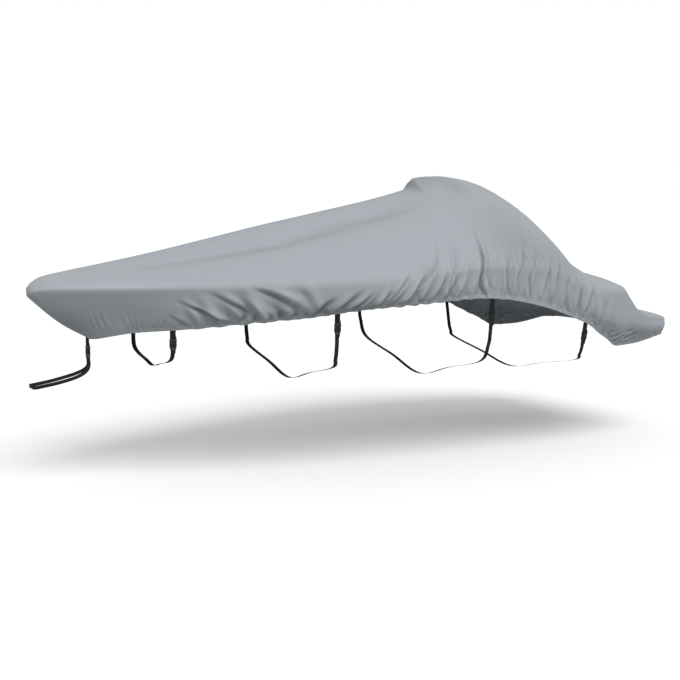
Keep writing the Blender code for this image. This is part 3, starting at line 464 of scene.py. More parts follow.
def fine_height(foot, girth, side):
    """Creases and gathers, which are too fine for the solid."""
    creases = CREASES if side < 0 else starboard_creases()
    free = 1 - held_flat(foot, girth)
    return [crease_height(foot, girth, kind) * free
            for kind in (creases, hem_gathers(GATHER_SEEDS[side]))]


def cloth_surface(foot, girth, side):
    """Outside of the finished cloth, in stations and heights."""
    station = station_of(foot, girth)
    lift = fold_height(foot, girth, side) - valley_depth(station, girth)
    lift += sum(fine_height(foot, girth, side))
    lift += soft_unevenness(station, girth, side)
    lift *= ease(foot / STEM)
    point = bare_cloth(station, girth) + out_of_cloth(station, girth) * lift[..., None]
    return point * (1, side, 1)


def cloth_painted_light(foot, girth, side):
    """Painted shade and highlight on the canvas: in its creases, along its valley and in soft patches.
    """
    fine = sum(share * height
               for share, height in zip(PAINTED_LIGHT_PER_METRE, fine_height(foot, girth, side)))
    # painted shade in the troughs of creases, painted highlight on their banks
    tone = np.where(fine < 0, TROUGH_PAINTED_SHADE * fine, BANK_PAINTED_HIGHLIGHT * fine)
    line, depth = valley_line(station_of(foot, girth))
    near = np.exp(-((girth - line) / VALLEY_PAINTED_SHADE[0]) ** 2)
    tone += VALLEY_PAINTED_SHADE[1] * near * np.minimum(depth / VALLEY_DEEP, 1.0)
    for at_foot, at_girth, along, down, share in PAINTED_LIGHT_PATCHES:
        away = ((foot - at_foot) / along) ** 2 + ((girth - at_girth) / down) ** 2
        tone += share * np.exp(-away)
    return np.clip(tone, *TONES)


def cloth_drawn(foot, girth):
    """Where the hem's cord draws the cloth into fine creases: 0 is smooth, 1 is gathered."""
    start = np.interp(foot, DRAWN_FEET, DRAWN_FROM)
    near = ease((girth - start) / DRAWN_GIRTH) * ease(foot / DRAWN_STEM)
    return near * (1 - HELD_SMOOTH * held_flat(foot, girth))


def spaced(spans):
    """Values from spans of start, end and count, and the last span's end."""
    values = [np.linspace(start, end, count, endpoint=False) for start, end, count in spans]
    return np.concatenate(values + [[spans[-1][1]]])


def grid_mesh(name, grid, metres=None, tone=None, drawn=None, solid=False):
    """A mesh of quads over a grid of points, with doubles merged. metres is where each
    point lies on the flat cloth, which the weave follows."""
    rows, columns = grid.shape[:2]
    index = np.arange(rows * columns).reshape(rows, columns)
    quads = np.stack((index[:-1, :-1], index[1:, :-1], index[1:, 1:], index[:-1, 1:]), -1)
    mesh = bpy.data.meshes.new(name)
    mesh.from_pydata(to_frame(grid).reshape(-1, 3).tolist(), [], quads.reshape(-1, 4).tolist())
    if metres is not None:
        flat = mesh.uv_layers.new(name="flat")
        flat.data.foreach_set("uv", metres.reshape(-1, 2)[quads.ravel()].ravel())
    for label, values in (("tone", tone), ("drawn", drawn)):
        if values is not None:
            painted = mesh.attributes.new(label, "FLOAT", "POINT")
            painted.data.foreach_set("value", values.ravel())
    bm = bmesh.new()
    bm.from_mesh(mesh)
    bmesh.ops.remove_doubles(bm, verts=bm.verts, dist=DOUBLES)
    if solid:
        bmesh.ops.holes_fill(bm, edges=bm.edges, sides=0)
        bmesh.ops.recalc_face_normals(bm, faces=bm.faces)
    bm.to_mesh(mesh)
    bm.free()
    mesh.shade_smooth()
    return mesh


def lengths_along(grid, axis):
    """Distance from the grid's start along one of its axes."""
    steps = np.linalg.norm(np.diff(grid, axis=axis), axis=-1)
    start = np.zeros_like(np.take(steps, [0], axis=axis))
    return np.concatenate((start, np.cumsum(steps, axis=axis)), axis=axis)


def add_piece(name, mesh, material):
    mesh.materials.clear()
    mesh.materials.append(material)
    return new_object(name, mesh)


def settle(piece):
    """The piece's modifiers go into its mesh."""
    bpy.context.view_layer.update()
    depsgraph = bpy.context.evaluated_depsgraph_get()
    mesh = bpy.data.meshes.new_from_object(piece.evaluated_get(depsgraph))
    piece.modifiers.clear()
    piece.data = mesh
    return piece


def plug_in(tree, node, inputs):
    """A node's inputs take sockets, numbers, colours or vectors, by name or by number."""
    for name, value in inputs.items():
        if isinstance(value, bpy.types.NodeSocket):
            tree.links.new(value, node.inputs[name])
        else:
            node.inputs[name].default_value = value


def add_node(tree, kind, inputs):
    node = tree.nodes.new(kind)
    plug_in(tree, node, inputs)
    return node.outputs


def new_material(name, values):
    """A node material, and its shader with the values that are the same all over."""
    material = bpy.data.materials.new(name)
    material.use_nodes = True
    shader = material.node_tree.nodes["Principled BSDF"]
    plug_in(material.node_tree, shader, values)
    return material, material.node_tree, shader


def new_group(name, inputs, outputs):
    """An empty node group. Its first input is a vector, and all others are numbers."""
    group = bpy.data.node_groups.new(name, "ShaderNodeTree")
    for label in inputs:
        kind = "NodeSocketVector" if label == inputs[0] else "NodeSocketFloat"
        group.interface.new_socket(label, in_out="INPUT", socket_type=kind)
    for label in outputs:
        group.interface.new_socket(label, in_out="OUTPUT", socket_type="NodeSocketFloat")
    return group, group.nodes.new("NodeGroupInput").outputs, group.nodes.new("NodeGroupOutput")


def use_group(tree, group, inputs):
    node = tree.nodes.new("ShaderNodeGroup")
    node.node_tree = group
    plug_in(tree, node, inputs)
    return node.outputs


def flat_metres(tree):
    """Where a point lies on the flat cloth or webbing."""
    node = tree.nodes.new("ShaderNodeUVMap")
    node.uv_map = "flat"
    return node.outputs["UV"]


def painted(tree, label):
    """A value that the mesh has at each point."""
    node = tree.nodes.new("ShaderNodeAttribute")
    node.attribute_name = label
    return node.outputs["Fac"]


def math_node(tree, operation, *values):
    node = tree.nodes.new("ShaderNodeMath")
    node.operation = operation
    plug_in(tree, node, dict(enumerate(values)))
    return node.outputs[0]


def noise_node(tree, vector, scale, detail, roughness=0.5, output="Fac"):
    return add_node(tree, "ShaderNodeTexNoise", {
        "Vector": vector, "Scale": scale, "Detail": detail, "Roughness": roughness})[output]


def drawn_out_noise(tree, vector, along, across, detail):
    """Noise with its own scale along each of the first two axes."""
    place = add_node(tree, "ShaderNodeMapping", {"Vector": vector, "Scale": (along, across, 1.0)})
    return noise_node(tree, place["Vector"], scale=1.0, detail=detail)


def colours(tree, value, stops):
    """A colour ramp through stops of place and colour, in order."""
    node = tree.nodes.new("ShaderNodeValToRGB")
    plug_in(tree, node, {"Fac": value})
    elements = node.color_ramp.elements
    for stop, (position, colour) in zip((elements[0], elements[1]), (stops[0], stops[-1])):
        stop.position = position
        stop.color = (*colour, 1.0)
    for position, colour in stops[1:-1]:
        elements.new(position).color = (*colour, 1.0)
    return node.outputs["Color"]


def raised(tree, height, strength, distance, below=None):
    """A Bump node's normal, over the normal of the relief below it."""
    inputs = {"Height": height, "Strength": strength, "Distance": distance}
    if below is not None:
        inputs["Normal"] = below
    return add_node(tree, "ShaderNodeBump", inputs)["Normal"]


def plain_weave():
    """Over-and-under threads on flat metres, with a few thicker threads."""
    tree, given, end = new_group("plain weave", ("Flat", "Pitch"), ("Height", "Thread"))
    split = add_node(tree, "ShaderNodeSeparateXYZ", {0: given["Flat"]})
    waves = []
    for axis in ("X", "Y"):
        turns = math_node(tree, "DIVIDE", split[axis], given["Pitch"])
        waves.append(math_node(tree, "SINE", math_node(tree, "MULTIPLY", turns, math.pi)))
    streaks = [drawn_out_noise(tree, given["Flat"], along, across, detail=1.0)
               for along, across in ((9.0, 420.0), (420.0, 9.0))]
    plug_in(tree, end, {"Height": math_node(tree, "ABSOLUTE", math_node(tree, "MULTIPLY", *waves)),
                        "Thread": math_node(tree, "MULTIPLY", *streaks)})
    return tree


def hung_cloth():
    """Faint mottling, and the shallow wrinkles that stay in folded cloth."""
    tree, given, end = new_group("hung cloth", ("Place",), ("Mottling", "Wrinkles"))
    place = given["Place"]
    broad = noise_node(tree, place, scale=1.1, detail=3.0)
    small = noise_node(tree, place, scale=9.0, detail=4.0, roughness=0.6)
    mottling = math_node(tree, "MULTIPLY", broad, math_node(tree, "ADD", small, 0.5))
    bend = tree.nodes.new("ShaderNodeVectorMath")
    bend.operation = "MULTIPLY_ADD"
    plug_in(tree, bend, {0: noise_node(tree, place, scale=4.0, detail=2.0, output="Color"),
                         1: (0.10, 0.10, 0.10), 2: place})
    soft = noise_node(tree, bend.outputs[0], scale=7.0, detail=2.0)
    crisp = noise_node(tree, bend.outputs[0], scale=3.0, detail=3.0)
    crisp = math_node(tree, "ABSOLUTE", math_node(tree, "SUBTRACT", crisp, 0.5))
    plug_in(tree, end, {"Mottling": mottling, "Wrinkles": math_node(tree, "ADD", soft, crisp)})
    return tree


def fine_creases():
    """Fine creases that run down the cloth to the hem, side by side and unevenly long; Shade is
    painted shade along them.
    """
    tree, given, end = new_group("fine creases", ("Flat", "Drawn"), ("Height", "Shade"))
    ridges = []
    for across, down, share in ((15.0, 1.0, 0.65), (36.0, 1.7, 0.35)):
        layer = drawn_out_noise(tree, given["Flat"], across, down, detail=1.0)
        away = math_node(tree, "ABSOLUTE", math_node(tree, "SUBTRACT", layer, 0.5))
        near = math_node(tree, "MINIMUM", away, 0.10)
        ridges.append(math_node(tree, "MULTIPLY", near, 10 * share))
    total = math_node(tree, "ADD", *ridges)
    shade = math_node(tree, "SUBTRACT", total, 0.75)
    plug_in(tree, end, {"Height": math_node(tree, "MULTIPLY", total, given["Drawn"]),
                        "Shade": math_node(tree, "MULTIPLY", shade, given["Drawn"])})
    return tree


def canvas_material(name, colour, pitch):
    """Coated polyester canvas, matt, with painted shade in its creases and painted highlight on their
    banks.
    """
    material, tree, shader = new_material(name, {"Roughness": 0.66, "Sheen Weight": 0.05})
    flat = flat_metres(tree)
    weave = use_group(tree, plain_weave(), {"Flat": flat, "Pitch": pitch})
    place = add_node(tree, "ShaderNodeTexCoord", {})["Object"]
    hung = use_group(tree, hung_cloth(), {"Place": place})
    creased = use_group(tree, fine_creases(), {"Flat": flat, "Drawn": painted(tree, "drawn")})
    # The tone attribute carries painted light and shade, from darkest to palest.
    total = math_node(tree, "ADD", painted(tree, "tone"), 0.5)
    total = math_node(tree, "MULTIPLY", total, CANVAS_STOP / 0.5)
    # Mottling and thicker threads are the canvas's own colour; the fine creases' Shade is painted
    # shade.
    for effect, mean, share in ((hung["Mottling"], 0.5, 0.10), (weave["Thread"], 0.25, 0.12),
                                (creased["Shade"], 0.0, 0.07)):
        change = math_node(tree, "MULTIPLY", math_node(tree, "SUBTRACT", effect, mean), share)
        total = math_node(tree, "ADD", total, change)
    darkest, palest = ([share * c for c in colour] for share in CANVAS_SHADES)
    stops = ((0.0, darkest), (CANVAS_STOP, colour), (1.0, palest))
    normal = raised(tree, hung["Wrinkles"], strength=0.35, distance=0.006)
    normal = raised(tree, creased["Height"], strength=0.6, distance=0.010, below=normal)
    normal = raised(tree, weave["Height"], strength=0.30, distance=0.0003, below=normal)
    plug_in(tree, shader, {"Base Color": colours(tree, total, stops), "Normal": normal})
    return material


canvas = canvas_material("cover canvas", CANVAS_COLOUR, THREAD_PITCH)
foot_grid, girth_grid = np.meshgrid(spaced(COLUMN_SPANS), spaced(ROW_SPANS), indexing="ij")
halves = []
for side in (-1, 1):
    half = cloth_surface(foot_grid, girth_grid, side)
    metres = np.stack((foot_grid, side * lengths_along(half, 1)), -1)
    halves.append((half, metres, cloth_painted_light(foot_grid, girth_grid, side),
                   cloth_drawn(foot_grid, girth_grid)))
whole = [np.concatenate((port[:, :0:-1], starboard), 1) for port, starboard in zip(*halves)]
cloth = add_piece("cloth", grid_mesh("cloth", *whole), canvas)
wall = cloth.modifiers.new("thickness", "SOLIDIFY")
wall.thickness = CLOTH
wall.offset = -1.0
settle(cloth)
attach(cloth, "root")
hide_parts("cover_cloth")

# ==================================================================== the hem
# The edge is turned under over a cord that draws it in, and sewn down with two rows of
# lockstitch. The band is the same canvas, doubled.
HEM_PROFILE = (          # section of the band: up the cloth and out from it
    (0.0290, -0.0004), (0.0284, 0.0011), (0.0200, 0.0013), (0.0130, 0.0014),
    (0.0075, 0.0022), (0.0035, 0.0036), (0.0000, 0.0030), (-0.0026, 0.0008),
    (-0.0026, -0.0024), (0.0000, -0.0046), (0.0035, -0.0052), (0.0075, -0.0038),
    (0.0130, -0.0030), (0.0284, -0.0027), (0.0290, -0.0012),
)
HEM_STRIP = 0.003        # width of each strip of the profile, on the flat cloth
HEM_TONE_AT = 0.985      # girth of the cloth above, whose painted light and shade the band follows
HEM_TONE = (0.7, 0.02)   # share of that painted light and shade, and how much paler the band is
HEM_END = 5.790          # station where the hem turns across the stern
STERN_EDGE = 0.095       # share of a station that the stern's edge drops in a metre
HEM_STEPS = 1000         # places along each side's hem
PUCKER = 0.0007          # how far the band stands out between its stitches
PUCKER_SPACING = 0.018
PUCKER_SEED = 31
PUCKERED = (0.002, 0.026)        # part of the band, up the cloth, that stands out
STITCH_ROWS = (0.0110, 0.0255)
STITCH_SPACING = 0.0075
STITCH_LENGTH = 0.0052
STITCH_RADIUS = 0.0005
STITCH_PROUD = 0.0016    # how far a seam's middle is out of the cloth
STITCH_SEED = 3
GREY_THREAD = (0.30, 0.33, 0.35, 1.0)


def hem_places():
    """Places round the hem from the stem, by port: hem station, girth, side, and how far
    foot and girth go back for a metre up the cloth."""
    feet = np.linspace(0.006, HEM_END, HEM_STEPS)
    at = {name: smooth_through(section_table["station"], section_table[name], feet)
          for name in ("rail_y", "rail_z", "hem_y", "hem_z", "belly", "sag")}
    drop = np.hypot((at["rail_y"] - at["hem_y"]) / 2 + at["belly"],
                    (at["rail_z"] - at["hem_z"]) / 2 - at["sag"])
    across = np.linspace(0.97, 0.01, HEM_STEPS // 9)
    port = np.broadcast_arrays(feet, 1.0, -1.0, 0.0, 1 / (4 * drop))
    stern = np.broadcast_arrays(SECTIONS[-1][0], across, -1.0, STERN_EDGE, 0.0)
    port_half = np.concatenate((np.stack(port, 1), np.stack(stern, 1)))
    return np.concatenate((port_half, port_half[::-1] * (1, 1, -1, 1, 1)))


def on_cloth(places, up):
    """Points of the finished cloth, a distance up from places on its edge."""
    foot, girth, side, foot_step, girth_step = places.T
    points = np.empty((len(places), 3))
    for hand in (-1, 1):
        on = side == hand
        points[on] = cloth_surface((foot - foot_step * up)[on], (girth - girth_step * up)[on],
                                   hand)
    return points


def unit(vectors):
    return vectors / np.maximum(np.linalg.norm(vectors, axis=-1, keepdims=True), 1e-9)


def edge_frame(places):
    """The cloth's edge, the way up the cloth and the way out of it."""
    edge = on_cloth(places, 0.0)
    rise = unit(on_cloth(places, 0.008) - edge)
    along = np.roll(edge, -1, 0) - np.roll(edge, 1, 0)
    return edge, rise, unit(np.cross(rise, along))


def stitch_tree(name, material):
    """A row of stitches along every line of a mesh."""
    tree = bpy.data.node_groups.new(name, "GeometryNodeTree")
    tree.interface.new_socket("Lines", in_out="INPUT", socket_type="NodeSocketGeometry")
    for label in ("Spacing", "Length", "Radius"):
        tree.interface.new_socket(label, in_out="INPUT", socket_type="NodeSocketFloat")
    tree.interface.new_socket("Stitches", in_out="OUTPUT", socket_type="NodeSocketGeometry")
    given = tree.nodes.new("NodeGroupInput").outputs
    lines = add_node(tree, "GeometryNodeMeshToCurve", {"Mesh": given["Lines"]})
    spots = tree.nodes.new("GeometryNodeCurveToPoints")
    spots.mode = "LENGTH"
    plug_in(tree, spots, {"Curve": lines["Curve"], "Length": given["Spacing"]})
    thread = add_node(tree, "GeometryNodeMeshCylinder", {
        "Vertices": 5, "Depth": given["Length"], "Radius": given["Radius"]})
    uneven = tree.nodes.new("FunctionNodeRandomValue")
    uneven.data_type = "FLOAT_VECTOR"
    plug_in(tree, uneven, {0: (0.9, 0.9, 0.85), 1: (1.1, 1.1, 1.05), "Seed": STITCH_SEED})
    stitches = add_node(tree, "GeometryNodeInstanceOnPoints", {
        "Points": spots.outputs["Points"], "Rotation": spots.outputs["Rotation"],
        "Instance": thread["Mesh"], "Scale": uneven.outputs[0]})
    real = add_node(tree, "GeometryNodeRealizeInstances", {"Geometry": stitches["Instances"]})
    finish = add_node(tree, "GeometryNodeSetMaterial", {
        "Geometry": real["Geometry"], "Material": material})
    add_node(tree, "NodeGroupOutput", {"Stitches": finish["Geometry"]})
    return tree


def sew(name, lines, tree, spacing, length, radius, slot):
    """Stitches along lines of points, as one plain mesh."""
    points = [tuple(point) for line in lines for point in to_frame(np.array(line))]
    starts = np.cumsum([0] + [len(line) for line in lines])
    edges = [(i, i + 1) for first, last in zip(starts, starts[1:]) for i in range(first, last - 1)]
    mesh = bpy.data.meshes.new(name)
    mesh.from_pydata(points, edges, [])
    piece = new_object(name, mesh)
    sewing = piece.modifiers.new("sewing", "NODES")
    sewing.node_group = tree
    sizes = {"Spacing": spacing, "Length": length, "Radius": radius}
    for item in tree.interface.items_tree:
        if item.name in sizes:
            sewing[item.identifier] = sizes[item.name]
    settle(piece)
    piece.data.shade_smooth()
    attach(piece, "root")
    return piece


places = hem_places()
edge, rise, out = edge_frame(places)
if out[HEM_STEPS // 2, 1] > 0:
    out = -out
walked = lengths_along(edge, 0)
luck = np.random.default_rng(PUCKER_SEED)
knots = np.arange(0.0, walked[-1] + PUCKER_SPACING, PUCKER_SPACING)
pucker = np.interp(walked, knots, luck.uniform(0.0, PUCKER, len(knots)))
rows = []
for up, stand in HEM_PROFILE:
    puffed = stand + math.copysign(1.0, stand) * pucker * (PUCKERED[0] < up < PUCKERED[1])
    rows.append(on_cloth(places, max(up, 0.0)) + rise * min(up, 0.0) + out * puffed[:, None])
band = np.stack(rows + rows[:1], 1)
band = np.concatenate((band, band[:1]))
distance = np.append(walked, walked[-1] + 0.01)
hem_flat = np.stack(np.broadcast_arrays(distance[:, None],
                                        HEM_STRIP * np.arange(band.shape[1])[None, :]), -1)
# The band takes part of the painted light and shade of the cloth just above it.
above = np.minimum(places[:, 1], HEM_TONE_AT)
hem_tone = HEM_TONE[0] * cloth_painted_light(places[:, 0], above, -1) + HEM_TONE[1]
hem_tone = np.append(hem_tone, hem_tone[:1])[:, None] * np.ones(band.shape[1])
hem = add_piece("cover_hem", grid_mesh("cover_hem", band, hem_flat, hem_tone, solid=True), canvas)
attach(hem, "root")
thread = new_material("grey thread", {"Base Color": GREY_THREAD, "Roughness": 0.5})[0]
hem_sewing = stitch_tree("hem stitches", thread)
proud = (STITCH_PROUD + pucker * 0.6)[:, None]
seams = [on_cloth(places, up) + out * proud for up in STITCH_ROWS]
hem_stitches = sew("hem_stitches", seams, hem_sewing, STITCH_SPACING, STITCH_LENGTH,
                   STITCH_RADIUS, "cover_cloth")

# ==================================================================== the belts
# Black woven webbing. A wide tab sewn inside the port hem carries each buckle's socket,
# and a belt runs from the plug under the hull to the starboard hem, where it is sewn on.
WEBBING = 0.002          # thickness of the webbing
GAP = 0.0004             # clearance between the halves of a buckle
SEAM = 0.0006            # clearance of webbing sewn inside the uneven cloth
HEM_CLEARANCE = 0.004    # what it needs more at the hem's cord
TAB_WIDTH = 0.050
BELT_WIDTH = 0.038
BELT_COLUMNS = ("name", "station", "tab_drop", "side_y", "side_z", "bilge_y", "bilge_z",
                "chine_y", "chine_z", "keel_z")
BELTS = (
    ("fore", 1.02, 0.075, 0.420, -0.505, 0.388, -0.555, 0.300, -0.590, -0.652),
    ("middle", 2.26, 0.085, 0.828, -0.480, 0.808, -0.590, 0.760, -0.665, -0.850),
    ("screen", 3.60, 0.125, 1.066, -0.420, 1.040, -0.540, 0.930, -0.690, -0.920),
    ("stern", 4.63, 0.085, 1.018, -0.640, 0.990, -0.700, 0.930, -0.755, -0.930),
)
BAR = 0.006              # bar that the webbing turns around
TURN_RADIUS = 0.0058     # of the webbing's middle, round a bar
SLOT = 0.0095            # slot between a bar and its buckle's body
SOCKET_BODY = 0.044      # length of the socket below its slot
PLUG_BODY = 0.014        # length of the plug's shoulders above its slot
HOOK_TAIL = 0.024        # sewn-down end of webbing beyond a bar
WEBBING_BLACK = (0.008, 0.008, 0.009)
WEBBING_WORN = (0.036, 0.036, 0.039)
RIB_PITCH = 0.0034
RIB_EDGES = 0.0018       # spacing of the fine lines along the webbing
SEWN_IN = (0.042, 0.028, 0.012, 0.0)     # places of sewn-in webbing, up from the cloth's edge
SEAM_INSET = 0.005       # of a box of stitches from the webbing's edges
SEAM_PROUD = (0.0022, 0.0006)    # out of the cloth: over the hem's band and above it
TAIL_BOX = (0.008, HOOK_TAIL - 0.004)    # of such a box beyond a bar
HEM_BOX = (0.014, 0.040)         # of such a box up from the cloth's edge
TURN_STEPS = 17          # places round a bar
TAB_SHARES = np.linspace(0.08, 0.9, 10)  # places down a tab, as shares of its drop
UNDER_STEPS = 14         # places in each span of a belt under the hull
STRAP_STITCH = (0.0042, 0.0030, 0.0004)  # spacing, length and radius
TAB_STITCH = (0.0050, 0.0036, 0.0005)
SECTION = (              # share of the width and of the thickness, round the webbing
    (-0.5, 0.0), (-0.488, 0.40), (-0.46, 0.5), (-0.2, 0.5), (0.0, 0.5), (0.2, 0.5),
    (0.46, 0.5), (0.488, 0.40), (0.5, 0.0), (0.488, -0.40), (0.46, -0.5), (0.2, -0.5),
    (0.0, -0.5), (-0.2, -0.5), (-0.46, -0.5), (-0.488, -0.40), (-0.5, 0.0),
)


def ribbed_webbing():
    """The twill's slanted ribs, meeting in the middle of the webbing."""
    tree, given, end = new_group("ribbed webbing", ("Flat", "Pitch"), ("Ribs", "Wear"))
    split = add_node(tree, "ShaderNodeSeparateXYZ", {0: given["Flat"]})
    walk = math_node(tree, "ADD", split["Y"], math_node(tree, "ABSOLUTE", split["X"]))
    turns = math_node(tree, "DIVIDE", walk, given["Pitch"])
    wave = math_node(tree, "SINE", math_node(tree, "MULTIPLY", turns, 2 * math.pi))
    lines = math_node(tree, "MULTIPLY", split["X"], 2 * math.pi / RIB_EDGES)
    lines = math_node(tree, "MULTIPLY", math_node(tree, "SINE", lines), 0.4)
    plug_in(tree, end, {"Ribs": math_node(tree, "ADD", wave, lines),
                        "Wear": drawn_out_noise(tree, given["Flat"], 60.0, 14.0, detail=3.0)})
    return tree


def webbing_material(name, colour, worn):
    material, tree, shader = new_material(name, {
        "Roughness": 0.72, "Specular IOR Level": 0.28, "Sheen Weight": 0.03})
    ribs = use_group(tree, ribbed_webbing(), {"Flat": flat_metres(tree), "Pitch": RIB_PITCH})
    height = math_node(tree, "MULTIPLY", math_node(tree, "ADD", ribs["Ribs"], 1.4), 0.25)
    rubbed = math_node(tree, "MULTIPLY", height, ribs["Wear"])
    plug_in(tree, shader, {"Base Color": colours(tree, rubbed, ((0.05, colour), (0.60, worn))),
                           "Normal": raised(tree, height, strength=0.6, distance=0.0005)})
    return material


def webbing_mesh(name, edges, closed=False):
    """Webbing with rounded selvedges along pairs of edge points."""
    if closed:
        edges = edges[-1:] + edges + edges[:2]
    left, right = (np.array([pair[i] for pair in edges], float) for i in (0, 1))
    middle = (left + right) / 2
    across = right - left
    out = unit(np.cross(unit(across), np.gradient(middle, axis=0)))
    if closed:
        middle, across, out = middle[1:-1], across[1:-1], out[1:-1]
    grid = np.stack([middle + across * share + out * WEBBING * lift
                     for share, lift in SECTION], 1)
    width = np.linalg.norm(across, axis=1, keepdims=True)
    shares = np.array([share for share, _ in SECTION])
    flat = np.stack(np.broadcast_arrays(width * shares, lengths_along(middle, 0)[:, None]), -1)
    return grid_mesh(name, grid, flat, solid=True)


def across_x(route, station, width):
    """Edge points of webbing whose route lies in the plane of one station."""
    half = width / 2
    return [((station - half, y, z), (station + half, y, z)) for y, z in route]


def hem_spots(feet, side):
    """Places on one side's hem, at given stations."""
    step = np.interp(feet, places[:HEM_STEPS, 0], places[:HEM_STEPS, 4])
    return np.stack(np.broadcast_arrays(feet, 1.0, side, 0.0, step), 1)


def seat(station, up, side, width):
    """Edge points of webbing sewn to the inside of the cloth, up from its edge."""
    spots = hem_spots(station + width * np.array((-0.5, 0.5)), side)
    low, high = on_cloth(spots, up), on_cloth(spots, up + 0.01)
    normal = unit(np.cross(low[1] - low[0], high.mean(0) - low.mean(0)))
    inward = normal if normal[1] * side < 0 else -normal
    at_cord = up < SEWN_IN[2]
    return tuple(low + inward * (CLOTH + SEAM + WEBBING / 2 + HEM_CLEARANCE * at_cord))


class HangLine:
    """The straight run of a tab and its buckle, down the side of the hull. Places on it
    are a distance down from its start and a distance outwards."""

    def __init__(self, start, target):
        self.start = np.array(start)
        self.down = unit(np.array(target) - self.start)
        self.outward = np.array((self.down[1], -self.down[0]))

    def at(self, down, outward):
        y, z = self.start + self.down * down + self.outward * outward
        return float(y), float(z)

    def tilt(self):
        return math.atan2(self.down[0], -self.down[1])


def turn_round_bar(line, bar, direction):
    """Webbing that runs down (1) or up (-1) behind a bar, turns and ends in front."""
    angles = np.linspace(0.0, math.pi, TURN_STEPS)
    route = [line.at(bar + direction * TURN_RADIUS * math.sin(angle),
                     TURN_RADIUS * (1 - math.cos(angle))) for angle in angles]
    tail = np.linspace(0.0, HOOK_TAIL, 5)[1:]
    return route + [line.at(bar - direction * down, 2 * TURN_RADIUS) for down in tail]


def smooth_route(points, per_span):
    """A soft curve through the route's own points."""
    points = [np.array(point, float) for point in points]
    ends = [2 * points[0] - points[1]] + points + [2 * points[-1] - points[-2]]
    route = []
    for before, here, there, after in zip(ends, ends[1:], ends[2:], ends[3:]):
        for t in np.linspace(0.0, 1.0, per_span, endpoint=False):
            route.append(0.5 * (2 * here + (there - before) * t
                                + (2 * before - 5 * here + 4 * there - after) * t ** 2
                                + (3 * here - 3 * there + after - before) * t ** 3))
    return route + [points[-1]]


def plug_bar(socket_bar):
    """Where the plug's bar lies, as distance down its hang line."""
    return socket_bar + BAR + SLOT + SOCKET_BODY + GAP + PLUG_BODY + SLOT


def seam_box(half_width, near, far):
    """A box of stitches with a diagonal, as distances across and along the webbing."""
    left, right = -half_width, half_width
    corners = np.array(((left, near), (right, near), (right, far), (left, far), (left, near),
                        (right, far)))
    return np.concatenate([here + (there - here) * np.linspace(0.0, 1.0, 8)[:, None]
                           for here, there in zip(corners, corners[1:])])


def tail_seam(line, bar, direction, station, width):
    """The stitches that hold the end of webbing turned round a bar."""
    stand = 2 * TURN_RADIUS + WEBBING / 2 + 0.0002
    return [(station + x, *line.at(bar - direction * down, stand))
            for x, down in seam_box(width / 2 - SEAM_INSET, *TAIL_BOX)]


def hem_seam(station, side, width):
    """The stitches that show outside where webbing is sewn in the hem."""
    across, up = seam_box(width / 2 - SEAM_INSET, *HEM_BOX).T
    points = on_cloth(hem_spots(station + across, side), up)
    points[:, 1] += side * np.where(up < HEM_PROFILE[0][0], *SEAM_PROUD)
    return points


belt_black = webbing_material("black webbing", WEBBING_BLACK, WEBBING_WORN)
hangers = {}
strap_seams = []
hem_seams = []
for values in BELTS:
    row = dict(zip(BELT_COLUMNS, values))
    station = row["station"]
    start = np.mean(seat(station, 0.0, -1, TAB_WIDTH), axis=0)
    line = HangLine(start[1:], (-row["side_y"], row["side_z"]))
    bar = row["tab_drop"]
    hangers[row["name"]] = (line, bar, station, TAB_WIDTH, BELT_WIDTH)
    sewn = [seat(station, up, -1, TAB_WIDTH) for up in SEWN_IN]
    hanging = [line.at(bar * share, 0.0) for share in TAB_SHARES]
    hanging += turn_round_bar(line, bar, 1)
    tab = add_piece("webbing_tab_" + row["name"],
                    webbing_mesh("tab", sewn + across_x(hanging, station, TAB_WIDTH)), belt_black)
    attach(tab, "root")
    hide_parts("tab_" + row["name"])
    low_bar = plug_bar(bar)
    hook = turn_round_bar(line, low_bar, -1)[::-1]
    half = [(row["bilge_y"], row["bilge_z"]), (row["chine_y"], row["chine_z"]),
            (row["chine_y"] * 0.5, (row["chine_z"] + row["keel_z"]) / 2)]
    port = [(-row["side_y"], row["side_z"])] + [(-y, z) for y, z in half]
    starboard = [(-y, z) for y, z in reversed(port)]
    top = np.mean(seat(station, 0.0, 1, BELT_WIDTH), axis=0)[1:]
    rise_up = [np.array(starboard[-1]) * (1 - share) + top * share for share in (0.5, 0.9)]
    under = smooth_route([line.at(low_bar + 0.02, 0.0)] + port + [(0.0, row["keel_z"])]
                         + starboard + rise_up, UNDER_STEPS)
    sewn = [seat(station, up, 1, BELT_WIDTH) for up in reversed(SEWN_IN)]
    belt = add_piece("webbing_belt_" + row["name"],
                     webbing_mesh("belt", across_x(hook + under, station, BELT_WIDTH) + sewn),
                     belt_black)
    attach(belt, "root")
    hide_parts("belt_" + row["name"])
    strap_seams.append(tail_seam(line, bar, 1, station, TAB_WIDTH))
    strap_seams.append(tail_seam(line, low_bar, -1, station, BELT_WIDTH))
    hem_seams.append(hem_seam(station, -1, TAB_WIDTH))
    hem_seams.append(hem_seam(station, 1, BELT_WIDTH))

